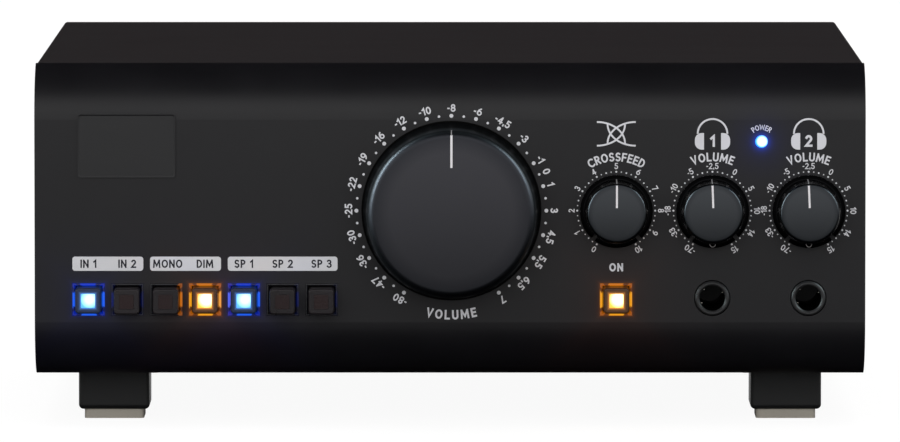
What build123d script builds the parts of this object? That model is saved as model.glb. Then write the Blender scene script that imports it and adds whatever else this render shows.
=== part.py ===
"""Desktop studio monitor controller: a sheet-metal case with a curved front panel, four knobs,
eight lit push buttons, two headphone jacks, and the boards, transformer and sockets behind them.

All lengths are in millimetres. X runs across the front, +Y from the front to the rear, +Z up.
The origin lies under the middle of the whole object, on the surface that it stands on.
"""

from build123d import *
from math import cos, degrees, radians, sin, sqrt
import os

# ---------------------------------------------------------------- driving dimensions

# Case
case_width = 210.0
case_depth = 210.0           # front of the panel to the outer face of the rear panel
panel_height = 78.8
panel_thickness = 3.0
edge_radius = 14.0           # rolled upper and lower edges of the front panel
edge_sweep = 80.0            # degrees that each rolled edge turns through
tray_sheet = 1.2
cover_sheet = 1.5
rear_sheet = 1.5
cover_bend = 1.0             # outer radius of the cover's two long folds
seam_gap = 0.3               # between the front panel and the cover or tray behind it
slip_gap = 0.15              # between sheets that slide past each other
tray_flange = 6.4            # height of the tray's side and rear flanges
wall_lip = 8.0               # depth of the lip along the top of the tray's front wall
cover_lip = 6.0              # depth of the cover's lip behind the rear panel's upper edge

# Feet
foot_width = 18.1
foot_height = 10.8
foot_inset = 10.1            # side of the case to the foot
foot_setback = 28.0          # front of the panel, or rear of the case, to the foot
foot_round = 1.2
pad_width = 15.2
pad_thickness = 2.4

# Controls on the front panel; heights are above the lower edge of the panel
knob_row = 42.05
button_row = 19.5
jack_row = 19.9
led_row = 59.5
volume_x = 0.35
crossfeed_x = 42.0
phones_2_margin = 14.4       # right side of the case to the axis of the last knob
first_button_margin = 13.6   # left side of the case to the middle of the first button
button_pitch = 9.82
front_row_buttons = 7
led_shift = 0.25             # right of the middle between the two phones knobs
badge_margin = 10.95         # left side of the case to the badge
badge_row = 58.5
badge_width = 24.7
badge_height = 16.1
badge_thickness = 0.6
badge_corner = 0.8

# Knobs
knob_reach = 15.0            # front of the panel to the face of the volume knob
knob_base_diameter = 44.6
knob_face_diameter = 42.0
knob_edge_round = 1.8
knob_gap = 0.9               # panel to the back of every knob
small_knob_reach = 11.0
skirt_diameter = 18.4
skirt_thickness = 2.6
small_body_diameter = 16.4
small_face_diameter = 15.0
small_edge_round = 0.7
skirt_notch_width = 1.1
skirt_notch_depth = 1.1
skirt_notch_angle = 40.0     # degrees either side of the point opposite the pointer
pointer_depth = 0.2
volume_pointer_width = 0.6
volume_pointer_inner = 11.8  # axis to the inner end of the volume knob's pointer
small_pointer_width = 0.66
small_pointer_inner = 1.1
phones_1_lean = -2.0         # degrees that each phones knob stands off the top of its scale
phones_2_lean = -2.5
knob_crown = 3.0             # solid thickness left in front of a shaft
knob_hollow_radius = 15.0
knob_hollow_depth = 5.0

# Potentiometers
shaft_diameter = 6.0
shaft_play = 0.05            # radial, shaft in its bush
knob_fit = 0.02              # radial, knob on its shaft
volume_pot_size = 27.0
volume_pot_depth = 24.0
volume_bush_diameter = 9.0
small_pot_size = 12.0
small_bush_diameter = 8.0
bush_length = 5.0            # in front of the tray's wall
nut_thickness = 2.4          # nuts of the potentiometers and the jacks
pot_nut_margin = 3.0         # nut's half width across flats beyond the bush's radius
shaft_seat = 3.0             # solid left behind the end of a shaft
bush_hole_play = 0.1         # radial, bushes and noses in their holes

# Push buttons
window_size = 8.25           # square opening in the panel
collar_play = 0.1
collar_wall = 0.6
cap_play = 0.175
cap_corner = 0.9
cap_edge_round = 0.45
lens_size = 3.8
lens_depth = 0.25
pressed_reach = 4.5          # front of the panel to the face of a latched cap
button_travel = 3.2
switch_standoff = 5.0        # panel to the front of a switch
cap_clearance = 2.0          # latched cap to the switch behind it
switch_spacing = 1.2         # between neighbouring switches
stem_size = 3.0
stem_length = 10.0
stem_play = 0.2

# Headphone jacks
jack_bore_diameter = 6.5
jack_nose_diameter = 8.65
jack_hole_play = 0.28
jack_reach = 0.6             # nose in front of the panel
jack_bore_depth = 32.0
jack_floor = 2.6
jack_body_size = 16.0
jack_nut_diameter = 14.0
jack_mouth = 0.35            # chamfer round the mouth

# Power light
led_diameter = 3.0
led_reach = 0.7
led_length = 6.0
led_rim = 0.4
led_lead = 0.6
led_lead_pitch = 2.54
led_hole_play = 0.1

# Boards
board_thickness = 1.6
front_board_gap = 11.3       # tray's wall to the front board
board_margin = 6.0           # front board to the case's inside
main_board_height = 5.0      # above the tray's floor
core_clearance = 5.0         # transformer to the main board
main_board_side_margin = 6.0
main_board_front = 47.0      # from the front of the panel
main_board_rear_margin = 10.0
cutout_play = 0.75
spacer_diameter = 6.0
ribbon_width = 28.0
ribbon_thickness = 0.9
ribbon_bend = 8.0
header_length = 32.0
header_width = 6.0
header_height = 8.0
ribbon_row = 31.0            # height of the front header above the panel's lower edge
main_header_setback = 60.0
capacitor_diameter = 16.0
capacitor_height = 26.0
capacitor_pitch = 20.0
capacitor_columns = 2
capacitor_rows = 2
capacitor_inset = 30.0       # left edge of the main board to the first capacitor
capacitor_setback = 92.0
relay_length = 20.0
relay_width = 10.0
relay_height = 12.0
relay_pitch = 15.0
relay_count = 5
relay_inset = 26.0           # left edge of the main board to the first relay
relay_rear_inset = 40.0      # rear edge of the main board to the relays

# Mains transformer
core_outer_radius = 36.0
core_inner_radius = 12.0
core_height = 34.0
core_round = 7.0
core_pad_radius = 33.0
core_pad_thickness = 2.0
clamp_thickness = 1.5
clamp_dish = 2.0
clamp_flat_radius = 8.0
core_bolt_diameter = 6.0
core_side_margin = 42.0      # left side of the case to the transformer's axis
core_setback = 112.0

# Sockets on the rear panel; heights are above the lower edge of the rear panel
rear_reach = 9.0             # rear panel to the ends of the phono collars
lower_row = 20.3
upper_row = 55.0
xlr_first_x = -28.0
xlr_pitch = 30.0
xlr_output_count = 4
xlr_input_count = 2
xlr_flange_width = 26.0
xlr_flange_height = 31.0
xlr_flange_thickness = 2.4
xlr_flange_round = 2.0
xlr_body_radius = 11.8
xlr_body_depth = 20.0
xlr_cavity_radius = 9.6
xlr_cavity_depth = 13.0
xlr_core_radius = 7.9
xlr_pin_radius = 1.2
xlr_pin_circle = 3.55
xlr_pin_recess = 2.0
xlr_pin_play = 0.15
xlr_pin_turn = 30.0          # degrees from level to the first pin
xlr_screw_x = 9.5
xlr_screw_z = 12.0
latch_width = 7.0
latch_height = 2.4
latch_height_offset = 11.8   # socket's axis to the lower edge of the latch
latch_travel = 1.4
latch_reach = 1.2
latch_depth = 1.5
latch_play = 0.2
phono_radius = 4.15
phono_socket_radius = 1.6
phono_socket_depth = 8.0
phono_nut_margin = 2.0
phono_nut_thickness = 2.2
phono_inner_length = 12.0
phono_first_x = 30.0
phono_pitch_x = 20.0
phono_pitch_z = 15.0
phono_columns = 2
phono_rows = 2
inlet_margin = 27.0          # left side of the case to the middle of the inlet
inlet_row = 24.0
inlet_flange_width = 50.0
inlet_flange_height = 34.0
inlet_flange_thickness = 3.0
inlet_flange_round = 5.0
inlet_body_width = 28.0
inlet_body_height = 31.0
inlet_body_depth = 27.0
inlet_socket_width = 22.6
inlet_socket_height = 15.6
inlet_socket_depth = 17.0
inlet_socket_chamfer = 4.5
inlet_socket_offset = 5.5    # middle of the inlet up to the middle of its socket
inlet_screw_x = 20.0
blade_width = 2.0
blade_height = 4.0
blade_length = 13.0
blade_spacing = 7.0
earth_offset = 4.0
fuse_width = 21.0
fuse_height = 7.0
fuse_depth = 22.0
fuse_offset = -10.0          # middle of the inlet down to the middle of its fuse drawer
fuse_play = 0.2
fuse_lip = 1.0
rocker_bezel_width = 15.0
rocker_bezel_height = 21.0
rocker_bezel_thickness = 2.0
rocker_body_width = 13.0
rocker_body_height = 19.0
rocker_body_depth = 18.0
rocker_width = 10.4
rocker_height = 16.4
rocker_front = 2.8
rocker_valley = 1.8
rocker_back = 2.0
rocker_tilt = 8.0            # degrees either side of the middle
rocker_pivot_inset = 1.0     # rear panel's outer face to the pivot
rocker_pivot_radius = 1.0
rocker_pivot_length = 0.8
rocker_play = 0.3

# Fasteners
m3_radius = 1.5
m3_head_radius = 2.75
m3_head_height = 1.8
m3_length = 6.0
m3_socket_width = 2.0        # across the flats of the driver's socket
m3_socket_depth = 1.2
tapped_play = 0.05           # radial, screw in its tapped hole
m4_radius = 2.0
m4_head_radius = 3.5
m4_head_height = 2.4
boss_radius = 3.5
side_screw_row = 4.2         # above the lower edge of the case
side_screw_setbacks = (52.0, 112.0, 176.0)
rear_screw_inset = 3.0       # below the cover, for the rear panel's upper screws
rear_upper_screw_margin = 15.0
rear_lower_screw_margin = 17.0
rear_lower_screw_xs = (-47.0, 20.0)
panel_screw_xs = (-54.0, 0.0, 54.0)
panel_screw_inset = 9.7      # from the panel's upper and lower edges
spacer_margin = 11.0         # side of the case to the front board's spacers
spacer_lower_row = 10.2
spacer_upper_row = 68.8
spacer_middle_x = 26.0
main_spacer_inset = 5.0

# ---------------------------------------------------------------- places worked out from them

overall_length = knob_reach + case_depth + rear_reach
front_y = knob_reach - overall_length / 2
rear_y = front_y + case_depth
base_z = pad_thickness + foot_height
top_z = base_z + panel_height
half_width = case_width / 2

edge_centre_y = front_y + edge_radius
edge_rise = edge_radius * sin(radians(edge_sweep))
upper_centre_z = top_z - edge_rise
lower_centre_z = base_z + edge_rise
edge_inner_radius = edge_radius - panel_thickness

wall_front_y = edge_centre_y - edge_inner_radius * cos(radians(edge_sweep)) + seam_gap
wall_back_y = wall_front_y + tray_sheet
nut_front_y = wall_front_y - nut_thickness
board_front_y = wall_back_y + front_board_gap
board_back_y = board_front_y + board_thickness
rear_inner_y = rear_y - rear_sheet
floor_z = base_z + tray_sheet
tray_half_width = half_width - cover_sheet - slip_gap
inner_top_z = top_z - cover_sheet - slip_gap
main_board_z = floor_z + main_board_height
main_board_top_z = main_board_z + board_thickness

knob_z = base_z + knob_row
button_z = base_z + button_row
jack_z = base_z + jack_row
led_z = base_z + led_row
phones_2_x = half_width - phones_2_margin
phones_1_x = (crossfeed_x + phones_2_x) / 2
led_x = (phones_1_x + phones_2_x) / 2 + led_shift
badge_x = badge_margin + badge_width / 2 - half_width
first_button_x = first_button_margin - half_width
inlet_x = inlet_margin - half_width
rocker_x = inlet_x
core_x = core_side_margin - half_width
ribbon_x = crossfeed_x
main_board_left = core_x + core_outer_radius + core_clearance
main_board_right = half_width - main_board_side_margin
main_board_front_y = front_y + main_board_front
main_board_rear_y = rear_y - main_board_rear_margin
rear_upper_screws = (rear_upper_screw_margin - half_width, 0, half_width - rear_upper_screw_margin)
rear_lower_screws = (*rear_lower_screw_xs, half_width - rear_lower_screw_margin)
spacer_spots = (
    (spacer_margin - half_width, spacer_lower_row),
    (spacer_middle_x, spacer_lower_row),
    (spacer_margin - half_width, spacer_upper_row),
    (half_width - spacer_margin, spacer_upper_row),
)
shaft_radius = shaft_diameter / 2

collar_size = window_size - 2 * collar_play
collar_bore = collar_size - 2 * collar_wall
cap_size = collar_bore - 2 * cap_play
switch_front_y = front_y + panel_thickness + switch_standoff
switch_size = button_pitch - switch_spacing
pressed_cap_back_y = switch_front_y - cap_clearance

button_xs = {
    "input_1": first_button_x,
    "input_2": first_button_x + button_pitch,
    "mono": first_button_x + 2 * button_pitch,
    "dim": first_button_x + 3 * button_pitch,
    "speaker_1": first_button_x + 4 * button_pitch,
    "speaker_2": first_button_x + 5 * button_pitch,
    "speaker_3": first_button_x + (front_row_buttons - 1) * button_pitch,
    "crossfeed": crossfeed_x,
}
latched_buttons = ("input_1", "dim", "speaker_1", "crossfeed")

xlr_output_spots = [(xlr_first_x + i * xlr_pitch, base_z + upper_row) for i in range(xlr_output_count)]
xlr_input_spots = [(xlr_first_x + i * xlr_pitch, base_z + lower_row) for i in range(xlr_input_count)]
phono_spots = [
    (phono_first_x + i * phono_pitch_x, base_z + lower_row + (k - (phono_rows - 1) / 2) * phono_pitch_z)
    for i in range(phono_columns)
    for k in range(phono_rows)
]
inlet_z = base_z + inlet_row
rocker_z = base_z + upper_row

nodes = {}


# ---------------------------------------------------------------- shapes used throughout

def block(xs, ys, zs):
    """A box between two X, two Y and two Z values."""
    middle = [(low + high) / 2 for low, high in (xs, ys, zs)]
    return Pos(*middle) * Box(*(high - low for low, high in (xs, ys, zs)))


def plate(x, z, width, height, y0, y1, corner=0.0):
    """An upright plate about (x, z) from y0 back to y1, with rounded corners if asked."""
    outline = RectangleRounded(width, height, corner) if corner else Rectangle(width, height)
    return extrude(Plane.XZ.offset(-y1) * Pos(x, z) * outline, y1 - y0)


def rod(x, z, radius, y0, y1):
    """A round bar along Y."""
    return Pos(x, (y0 + y1) / 2, z) * Rot(90, 0, 0) * Cylinder(radius, y1 - y0)


def post(x, y, radius, z0, z1):
    """A round bar along Z."""
    return Pos(x, y, (z0 + z1) / 2) * Cylinder(radius, z1 - z0)


def hexagon(half_across_flats):
    return RegularPolygon(half_across_flats, 6, major_radius=False)


def bush_nut(x, z, bush_radius, margin, y0, y1):
    """A hexagon nut along Y, bored to sit on a bush."""
    outline = hexagon(bush_radius + margin) - Circle(bush_radius + tapped_play)
    return extrude(Plane.XZ.offset(-y1) * Pos(x, z) * outline, y1 - y0)


def screw(point, outward, length, radius=m3_radius, head_radius=m3_head_radius, head_height=m3_head_height):
    """A pan-head screw with a hexagon socket; point is under the head, outward the way that it faces."""
    head = Pos(0, 0, head_height / 2) * Cylinder(head_radius, head_height)
    head = fillet(head.edges().group_by(Axis.Z)[-1], head_height / 3)
    socket = extrude(Plane.XY.offset(head_height) * hexagon(m3_socket_width / 2), -m3_socket_depth)
    shank = Pos(0, 0, -length / 2) * Cylinder(radius, length)
    return Plane(origin=point, z_dir=outward) * (head + shank - socket)


def countersunk(point, outward, length):
    """A flush screw whose head is a cone as thick as the cover; point is on the outer face."""
    head = Pos(0, 0, -cover_sheet / 2) * Cone(m3_radius, m3_head_radius, cover_sheet)
    shank = Pos(0, 0, -(cover_sheet + length) / 2) * Cylinder(m3_radius, length + cover_sheet)
    socket = extrude(Plane.XY * hexagon(m3_socket_width / 2), -m3_socket_depth)
    return Plane(origin=point, z_dir=outward) * (head + shank - socket)


def group(solids):
    """Separate solids that share one node."""
    return Compound(children=list(solids))


# ---------------------------------------------------------------- front panel

def polar(centre_z, radius, angle):
    """A point of the side section, at an angle about the centre of a rolled edge."""
    return edge_centre_y + radius * cos(radians(angle)), centre_z + radius * sin(radians(angle))


def panel_section():
    """Side section of the front panel: flat in the middle, rolled back at both edges."""
    top_end = 180 - edge_sweep
    bottom_end = 180 + edge_sweep
    inner_y = front_y + panel_thickness
    upper = (edge_centre_y, upper_centre_z)
    lower = (edge_centre_y, lower_centre_z)
    outer = edge_radius
    inner = edge_inner_radius
    return make_face([
        Line((front_y, lower_centre_z), (front_y, upper_centre_z)),
        CenterArc(upper, outer, 180, -edge_sweep),
        Line(polar(upper_centre_z, outer, top_end), polar(upper_centre_z, inner, top_end)),
        CenterArc(upper, inner, top_end, edge_sweep),
        Line((inner_y, upper_centre_z), (inner_y, lower_centre_z)),
        CenterArc(lower, inner, 180, edge_sweep),
        Line(polar(lower_centre_z, inner, bottom_end), polar(lower_centre_z, outer, bottom_end)),
        CenterArc(lower, outer, bottom_end, -edge_sweep),
    ])


def panel_screw_spots():
    """Where the panel's bosses meet the tray's front wall."""
    return [(x, z) for x in panel_screw_xs for z in (base_z + panel_screw_inset, top_z - panel_screw_inset)]


def front_panel():
    panel = extrude(Plane.YZ * panel_section(), half_width, both=True)
    back_y = front_y + panel_thickness
    for x, z in panel_screw_spots():
        panel += rod(x, z, boss_radius, back_y, wall_front_y)
        panel -= rod(x, z, m3_radius + tapped_play, wall_front_y - m3_length, wall_front_y)
    panel -= rod(volume_x, knob_z, volume_bush_diameter / 2 + cutout_play, front_y, back_y)
    for x in (crossfeed_x, phones_1_x, phones_2_x):
        panel -= rod(x, knob_z, small_bush_diameter / 2 + cutout_play, front_y, back_y)
    for x in (phones_1_x, phones_2_x):
        panel -= rod(x, jack_z, jack_nose_diameter / 2 + jack_hole_play, front_y, back_y)
    for x in button_xs.values():
        panel -= plate(x, button_z, window_size, window_size, front_y, back_y)
    panel -= rod(led_x, led_z, led_diameter / 2 + led_hole_play, front_y, back_y)
    return panel


nodes["front_panel"] = front_panel()
nodes["badge_plate"] = plate(badge_x, base_z + badge_row, badge_width, badge_height,
                             front_y - badge_thickness, front_y, badge_corner)


# ---------------------------------------------------------------- cover, tray and rear panel

def cover_section():
    """Side section of the cover: it follows the inside of the rolled panel, one seam gap away."""
    seam_sweep = edge_sweep + degrees(seam_gap / edge_radius)
    top_angle = 180 - seam_sweep
    bottom_angle = 180 + seam_sweep
    inner = edge_inner_radius - seam_gap
    outer = edge_rise / sin(radians(seam_sweep))
    side_front_y = edge_centre_y - inner
    upper = (edge_centre_y, upper_centre_z)
    lower = (edge_centre_y, lower_centre_z)
    top_seam = polar(upper_centre_z, outer, top_angle)
    bottom_seam = polar(lower_centre_z, outer, bottom_angle)
    return make_face([
        Line((side_front_y, lower_centre_z), (side_front_y, upper_centre_z)),
        CenterArc(upper, inner, 180, -seam_sweep),
        Line(polar(upper_centre_z, inner, top_angle), top_seam),
        Line(top_seam, (rear_y, top_z)),
        Line((rear_y, top_z), (rear_y, base_z)),
        Line((rear_y, base_z), bottom_seam),
        Line(bottom_seam, polar(lower_centre_z, inner, bottom_angle)),
        CenterArc(lower, inner, bottom_angle, -seam_sweep),
    ])


def top_cover():
    cover = extrude(Plane.YZ * cover_section(), half_width, both=True)
    folds = cover.edges().filter_by(Axis.Y).group_by(Axis.Z)[-1]
    cover = fillet(folds, cover_bend)
    inside = half_width - cover_sheet
    under_z = top_z - cover_sheet
    cover -= block((-inside, inside), (front_y, rear_y), (base_z, under_z))
    lip_ys = (rear_inner_y - cover_sheet, rear_inner_y)
    cover += block((-inside, inside), lip_ys, (under_z - cover_lip, under_z))
    for x in rear_upper_screws:
        cover -= rod(x, upper_rear_screw_z, m3_radius + tapped_play, *lip_ys)
    for side in (-1, 1):
        for setback in side_screw_setbacks:
            hole = Pos(0, 0, -cover_sheet / 2) * Cone(m3_radius + tapped_play, m3_head_radius + tapped_play,
                                                      cover_sheet)
            point = (side * half_width, front_y + setback, base_z + side_screw_row)
            cover -= Plane(origin=point, z_dir=(side, 0, 0)) * hole
    return cover


upper_rear_screw_z = top_z - cover_sheet - rear_screw_inset
lower_rear_screw_z = base_z + side_screw_row
foot_centre_x = half_width - foot_inset - foot_width / 2
foot_front_y = front_y + foot_setback + foot_width / 2
foot_rear_y = rear_y - foot_setback - foot_width / 2
foot_spots = {
    "foot_front_left": (-foot_centre_x, foot_front_y),
    "foot_front_right": (foot_centre_x, foot_front_y),
    "foot_rear_left": (-foot_centre_x, foot_rear_y),
    "foot_rear_right": (foot_centre_x, foot_rear_y),
}
core_y = front_y + core_setback
main_spacer_spots = [
    (x, y)
    for x in (main_board_left + main_spacer_inset, main_board_right - main_spacer_inset)
    for y in (main_board_front_y + main_spacer_inset,
              (main_board_front_y + main_board_rear_y) / 2,
              main_board_rear_y - main_spacer_inset)
]


def chassis_tray():
    half = tray_half_width
    wall = (wall_front_y, wall_back_y)
    flange_zs = (base_z, base_z + tray_flange)
    lip_zs = (inner_top_z - tray_sheet, inner_top_z)
    tray = block((-half, half), (wall_front_y, rear_inner_y), (base_z, floor_z))
    tray += block((-half, half), wall, (base_z, inner_top_z))
    tray += block((-half, half), (wall_front_y, wall_back_y + wall_lip), lip_zs)
    tray += block((-half, half), (rear_inner_y - tray_sheet, rear_inner_y), flange_zs)
    for side in (-1, 1):
        flange_xs = sorted((side * half, side * (half - tray_sheet)))
        tray += block(flange_xs, (wall_front_y, rear_inner_y), flange_zs)
        for setback in side_screw_setbacks:
            hole = Cylinder(m3_radius + tapped_play, 2 * tray_sheet)
            point = (side * (half - tray_sheet / 2), front_y + setback, base_z + side_screw_row)
            tray -= Plane(origin=point, z_dir=(side, 0, 0)) * hole
    for x in rear_lower_screws:
        tray -= rod(x, lower_rear_screw_z, m3_radius + tapped_play, rear_inner_y - tray_sheet, rear_inner_y)

    # Clinch nuts that the foot screws and the transformer's bolt run into
    for x, y in foot_spots.values():
        tray += post(x, y, m4_head_radius, floor_z, floor_z + m4_head_height)
        tray -= post(x, y, m4_radius + tapped_play, base_z, floor_z + m4_head_height)
    tray -= post(core_x, core_y, core_bolt_diameter / 2 + tapped_play, base_z, floor_z)

    # Holes of the front wall
    tray -= rod(volume_x, knob_z, volume_bush_diameter / 2 + bush_hole_play, *wall)
    for x in (crossfeed_x, phones_1_x, phones_2_x):
        tray -= rod(x, knob_z, small_bush_diameter / 2 + bush_hole_play, *wall)
    for x in (phones_1_x, phones_2_x):
        tray -= rod(x, jack_z, jack_nose_diameter / 2 + bush_hole_play, *wall)
    for x in button_xs.values():
        side = switch_size + 2 * bush_hole_play
        tray -= plate(x, button_z, side, side, *wall)
    tray -= rod(led_x, led_z, led_diameter / 2 + cutout_play, *wall)
    for x, z in panel_screw_spots():
        tray -= rod(x, z, m3_radius + tapped_play, *wall)
    return tray


def xlr_screw_spots(x, z):
    """The two screws of a socket, in opposite corners of its flange."""
    return [(x + side * xlr_screw_x, z - side * xlr_screw_z) for side in (-1, 1)]


def rear_panel():
    half = tray_half_width
    panel = block((-half, half), (rear_inner_y, rear_y), (base_z, inner_top_z))
    thickness = (rear_inner_y, rear_y)
    for x, z in xlr_output_spots + xlr_input_spots:
        panel -= rod(x, z, xlr_body_radius + bush_hole_play, *thickness)
        for screw_x, screw_z in xlr_screw_spots(x, z):
            panel -= rod(screw_x, screw_z, m3_radius + tapped_play, *thickness)
    for x, z in phono_spots:
        panel -= rod(x, z, phono_radius + bush_hole_play, *thickness)
    panel -= plate(inlet_x, inlet_z, inlet_body_width + 2 * bush_hole_play,
                   inlet_body_height + 2 * bush_hole_play, *thickness)
    for side in (-1, 1):
        panel -= rod(inlet_x + side * inlet_screw_x, inlet_z, m3_radius + tapped_play, *thickness)
    panel -= plate(rocker_x, rocker_z, rocker_body_width + 2 * bush_hole_play,
                   rocker_body_height + 2 * bush_hole_play, *thickness)
    for x in rear_upper_screws:
        panel -= rod(x, upper_rear_screw_z, m3_radius + tapped_play, *thickness)
    for x in rear_lower_screws:
        panel -= rod(x, lower_rear_screw_z, m3_radius + tapped_play, *thickness)
    return panel


nodes["top_cover"] = top_cover()
nodes["chassis_tray"] = chassis_tray()
nodes["rear_panel"] = rear_panel()


# ---------------------------------------------------------------- feet

def foot(x, y):
    """A square block with rounded lower edges, bored for a recessed screw."""
    half = foot_width / 2
    body = block((x - half, x + half), (y - half, y + half), (pad_thickness, base_z))
    lower_edges = body.edges().group_by(Axis.Z)[0]
    body = fillet(list(lower_edges) + list(body.edges().filter_by(Axis.Z)), foot_round)
    body -= post(x, y, m4_radius + tapped_play, pad_thickness, base_z)
    body -= post(x, y, m4_head_radius + cutout_play, pad_thickness, pad_thickness + foot_height / 2)
    return body


def foot_pad(x, y):
    half = pad_width / 2
    pad = block((x - half, x + half), (y - half, y + half), (0, pad_thickness))
    return fillet(pad.edges().filter_by(Axis.Z), foot_round)


for name, (x, y) in foot_spots.items():
    nodes[name] = foot(x, y)
nodes["foot_pads"] = group(foot_pad(x, y) for x, y in foot_spots.values())
foot_screw_length = foot_height / 2 + tray_sheet + m4_head_height
nodes["foot_screws"] = group(
    screw((x, y, pad_thickness + foot_height / 2), (0, 0, -1), foot_screw_length,
          m4_radius, m4_head_radius, m4_head_height)
    for x, y in foot_spots.values()
)


# ---------------------------------------------------------------- boards

def front_board():
    half = half_width - board_margin
    thickness = (board_front_y, board_back_y)
    board = block((-half, half), thickness, (floor_z + board_margin, inner_top_z - board_margin))
    pot_hole = volume_pot_size + 2 * cutout_play
    board -= plate(volume_x, knob_z, pot_hole, pot_hole, *thickness)
    jack_hole = jack_body_size + 2 * cutout_play
    for x in (phones_1_x, phones_2_x):
        board -= plate(x, jack_z, jack_hole, jack_hole, *thickness)
    for x, height in spacer_spots:
        board -= rod(x, base_z + height, m3_radius + tapped_play, *thickness)
    return board


def main_board():
    board = block((main_board_left, main_board_right),
                  (main_board_front_y, main_board_rear_y), (main_board_z, main_board_top_z))
    for x, y in main_spacer_spots:
        board -= post(x, y, m3_radius + tapped_play, main_board_z, main_board_top_z)
    return board


def board_spacers():
    """Hexagon spacers under the main board and in front of the front board."""
    outline = RegularPolygon(spacer_diameter / 2, 6) - Circle(m3_radius + tapped_play)
    upright = extrude(Plane.XY * outline, main_board_height)
    level = extrude(Plane.XZ * outline, -front_board_gap)
    spacers = [Pos(x, y, floor_z) * upright for x, y in main_spacer_spots]
    spacers += [Pos(x, wall_back_y, base_z + height) * level for x, height in spacer_spots]
    return group(spacers)


header_half = header_length / 2
front_header_z = base_z + ribbon_row
front_header_back_y = board_back_y + header_height
main_header_y = front_y + main_header_setback
main_header_top_z = main_board_top_z + header_height


def ribbon_headers():
    across = (ribbon_x - header_half, ribbon_x + header_half)
    on_front = block(across, (board_back_y, front_header_back_y),
                     (front_header_z - header_width / 2, front_header_z + header_width / 2))
    on_main = block(across, (main_header_y - header_width / 2, main_header_y + header_width / 2),
                    (main_board_top_z, main_header_top_z))
    return group([on_front, on_main])


def ribbon_cable():
    """Flat cable that leaves the front header level and bends down into the main header."""
    path = FilletPolyline((front_header_back_y, front_header_z), (main_header_y, front_header_z),
                          (main_header_y, main_header_top_z), radius=ribbon_bend)
    outline = trace(path, ribbon_thickness)
    return Pos(ribbon_x, 0, 0) * extrude(Plane.YZ * outline, ribbon_width / 2, both=True)


def filter_capacitors():
    can = Cylinder(capacitor_diameter / 2, capacitor_height)
    can = fillet(can.edges().group_by(Axis.Z)[-1], capacitor_diameter / 16)
    middle_z = main_board_top_z + capacitor_height / 2
    first_x = main_board_left + capacitor_inset
    first_y = front_y + capacitor_setback
    return group(
        Pos(first_x + i * capacitor_pitch, first_y + k * capacitor_pitch, middle_z) * can
        for i in range(capacitor_columns)
        for k in range(capacitor_rows)
    )


def speaker_relays():
    relay = Box(relay_width, relay_length, relay_height)
    relay = fillet(relay.edges().filter_by(Axis.Z), relay_width / 12)
    middle_z = main_board_top_z + relay_height / 2
    first_x = main_board_left + relay_inset
    middle_y = main_board_rear_y - relay_rear_inset
    return group(Pos(first_x + i * relay_pitch, middle_y, middle_z) * relay for i in range(relay_count))


nodes["front_board"] = front_board()
nodes["main_board"] = main_board()
nodes["board_spacers"] = board_spacers()
nodes["ribbon_headers"] = ribbon_headers()
nodes["ribbon_cable"] = ribbon_cable()
nodes["filter_capacitors"] = filter_capacitors()
nodes["speaker_relays"] = speaker_relays()


# ---------------------------------------------------------------- mains transformer

core_pad_z = floor_z + core_pad_thickness
core_top_z = core_pad_z + core_height
upper_pad_top_z = core_top_z + core_pad_thickness


def transformer():
    """Ring-shaped wound core with rounded shoulders."""
    ring = Cylinder(core_outer_radius, core_height) - Cylinder(core_inner_radius, core_height)
    circles = ring.edges().filter_by(GeomType.CIRCLE)
    ring = fillet([edge for edge in circles if edge.radius > core_inner_radius], core_round)
    return Pos(core_x, core_y, core_pad_z + core_height / 2) * ring


def transformer_pad(bottom_z):
    ring = Cylinder(core_pad_radius - core_round, core_pad_thickness)
    ring -= Cylinder(core_inner_radius, core_pad_thickness)
    return Pos(core_x, core_y, bottom_z + core_pad_thickness / 2) * ring


def transformer_clamp():
    """Dished steel washer: its rim bears on the upper pad and its middle takes the bolt."""
    rim = core_pad_radius - core_round
    low = upper_pad_top_z
    high = low + clamp_dish
    hole = core_bolt_diameter / 2 + slip_gap
    section = make_face(Polyline(
        (hole, high), (clamp_flat_radius, high), (core_inner_radius, low), (rim, low),
        (rim, low + clamp_thickness), (core_inner_radius, low + clamp_thickness),
        (clamp_flat_radius, high + clamp_thickness), (hole, high + clamp_thickness), (hole, high)))
    washer = revolve(Plane.XZ * section, Axis.Z)
    return Pos(core_x, core_y, 0) * washer


def transformer_bolt():
    radius = core_bolt_diameter / 2
    seat_z = upper_pad_top_z + clamp_dish + clamp_thickness
    outline = RegularPolygon(core_bolt_diameter, 6)
    head = extrude(Plane.XY.offset(seat_z) * outline, core_bolt_diameter * 2 / 3)
    return Pos(core_x, core_y, 0) * (head + post(0, 0, radius, base_z, seat_z))


nodes["mains_transformer"] = transformer()
nodes["transformer_pads"] = group([transformer_pad(floor_z), transformer_pad(core_top_z)])
nodes["transformer_clamp"] = transformer_clamp()
nodes["transformer_bolt"] = transformer_bolt()


# ---------------------------------------------------------------- potentiometers and knobs

def potentiometer(x, size, depth, bush_diameter):
    """Square body behind the tray's wall, with a bush through it and a bore for the shaft."""
    body = plate(x, knob_z, size, size, wall_back_y, wall_back_y + depth)
    body += rod(x, knob_z, bush_diameter / 2, wall_front_y - bush_length, wall_back_y)
    body -= rod(x, knob_z, shaft_radius + shaft_play, wall_front_y - bush_length,
                wall_back_y + depth - shaft_seat)
    return body


def shaft(x, reach, depth):
    end_y = wall_back_y + depth - shaft_seat - seam_gap
    return rod(x, knob_z, shaft_radius, front_y - reach + knob_crown, end_y)


def shaft_bore(reach):
    """Bore for the shaft in a knob that is made about the origin with its face towards -Y."""
    return rod(0, 0, shaft_radius + knob_fit, -reach + knob_crown, -knob_gap)


def pointer_groove(width, inner, outer, reach):
    """Shallow groove for the white pointer, across the face and down its rounded edge."""
    return block((-width / 2, width / 2), (-reach, -reach + pointer_depth), (inner, outer))


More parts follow.
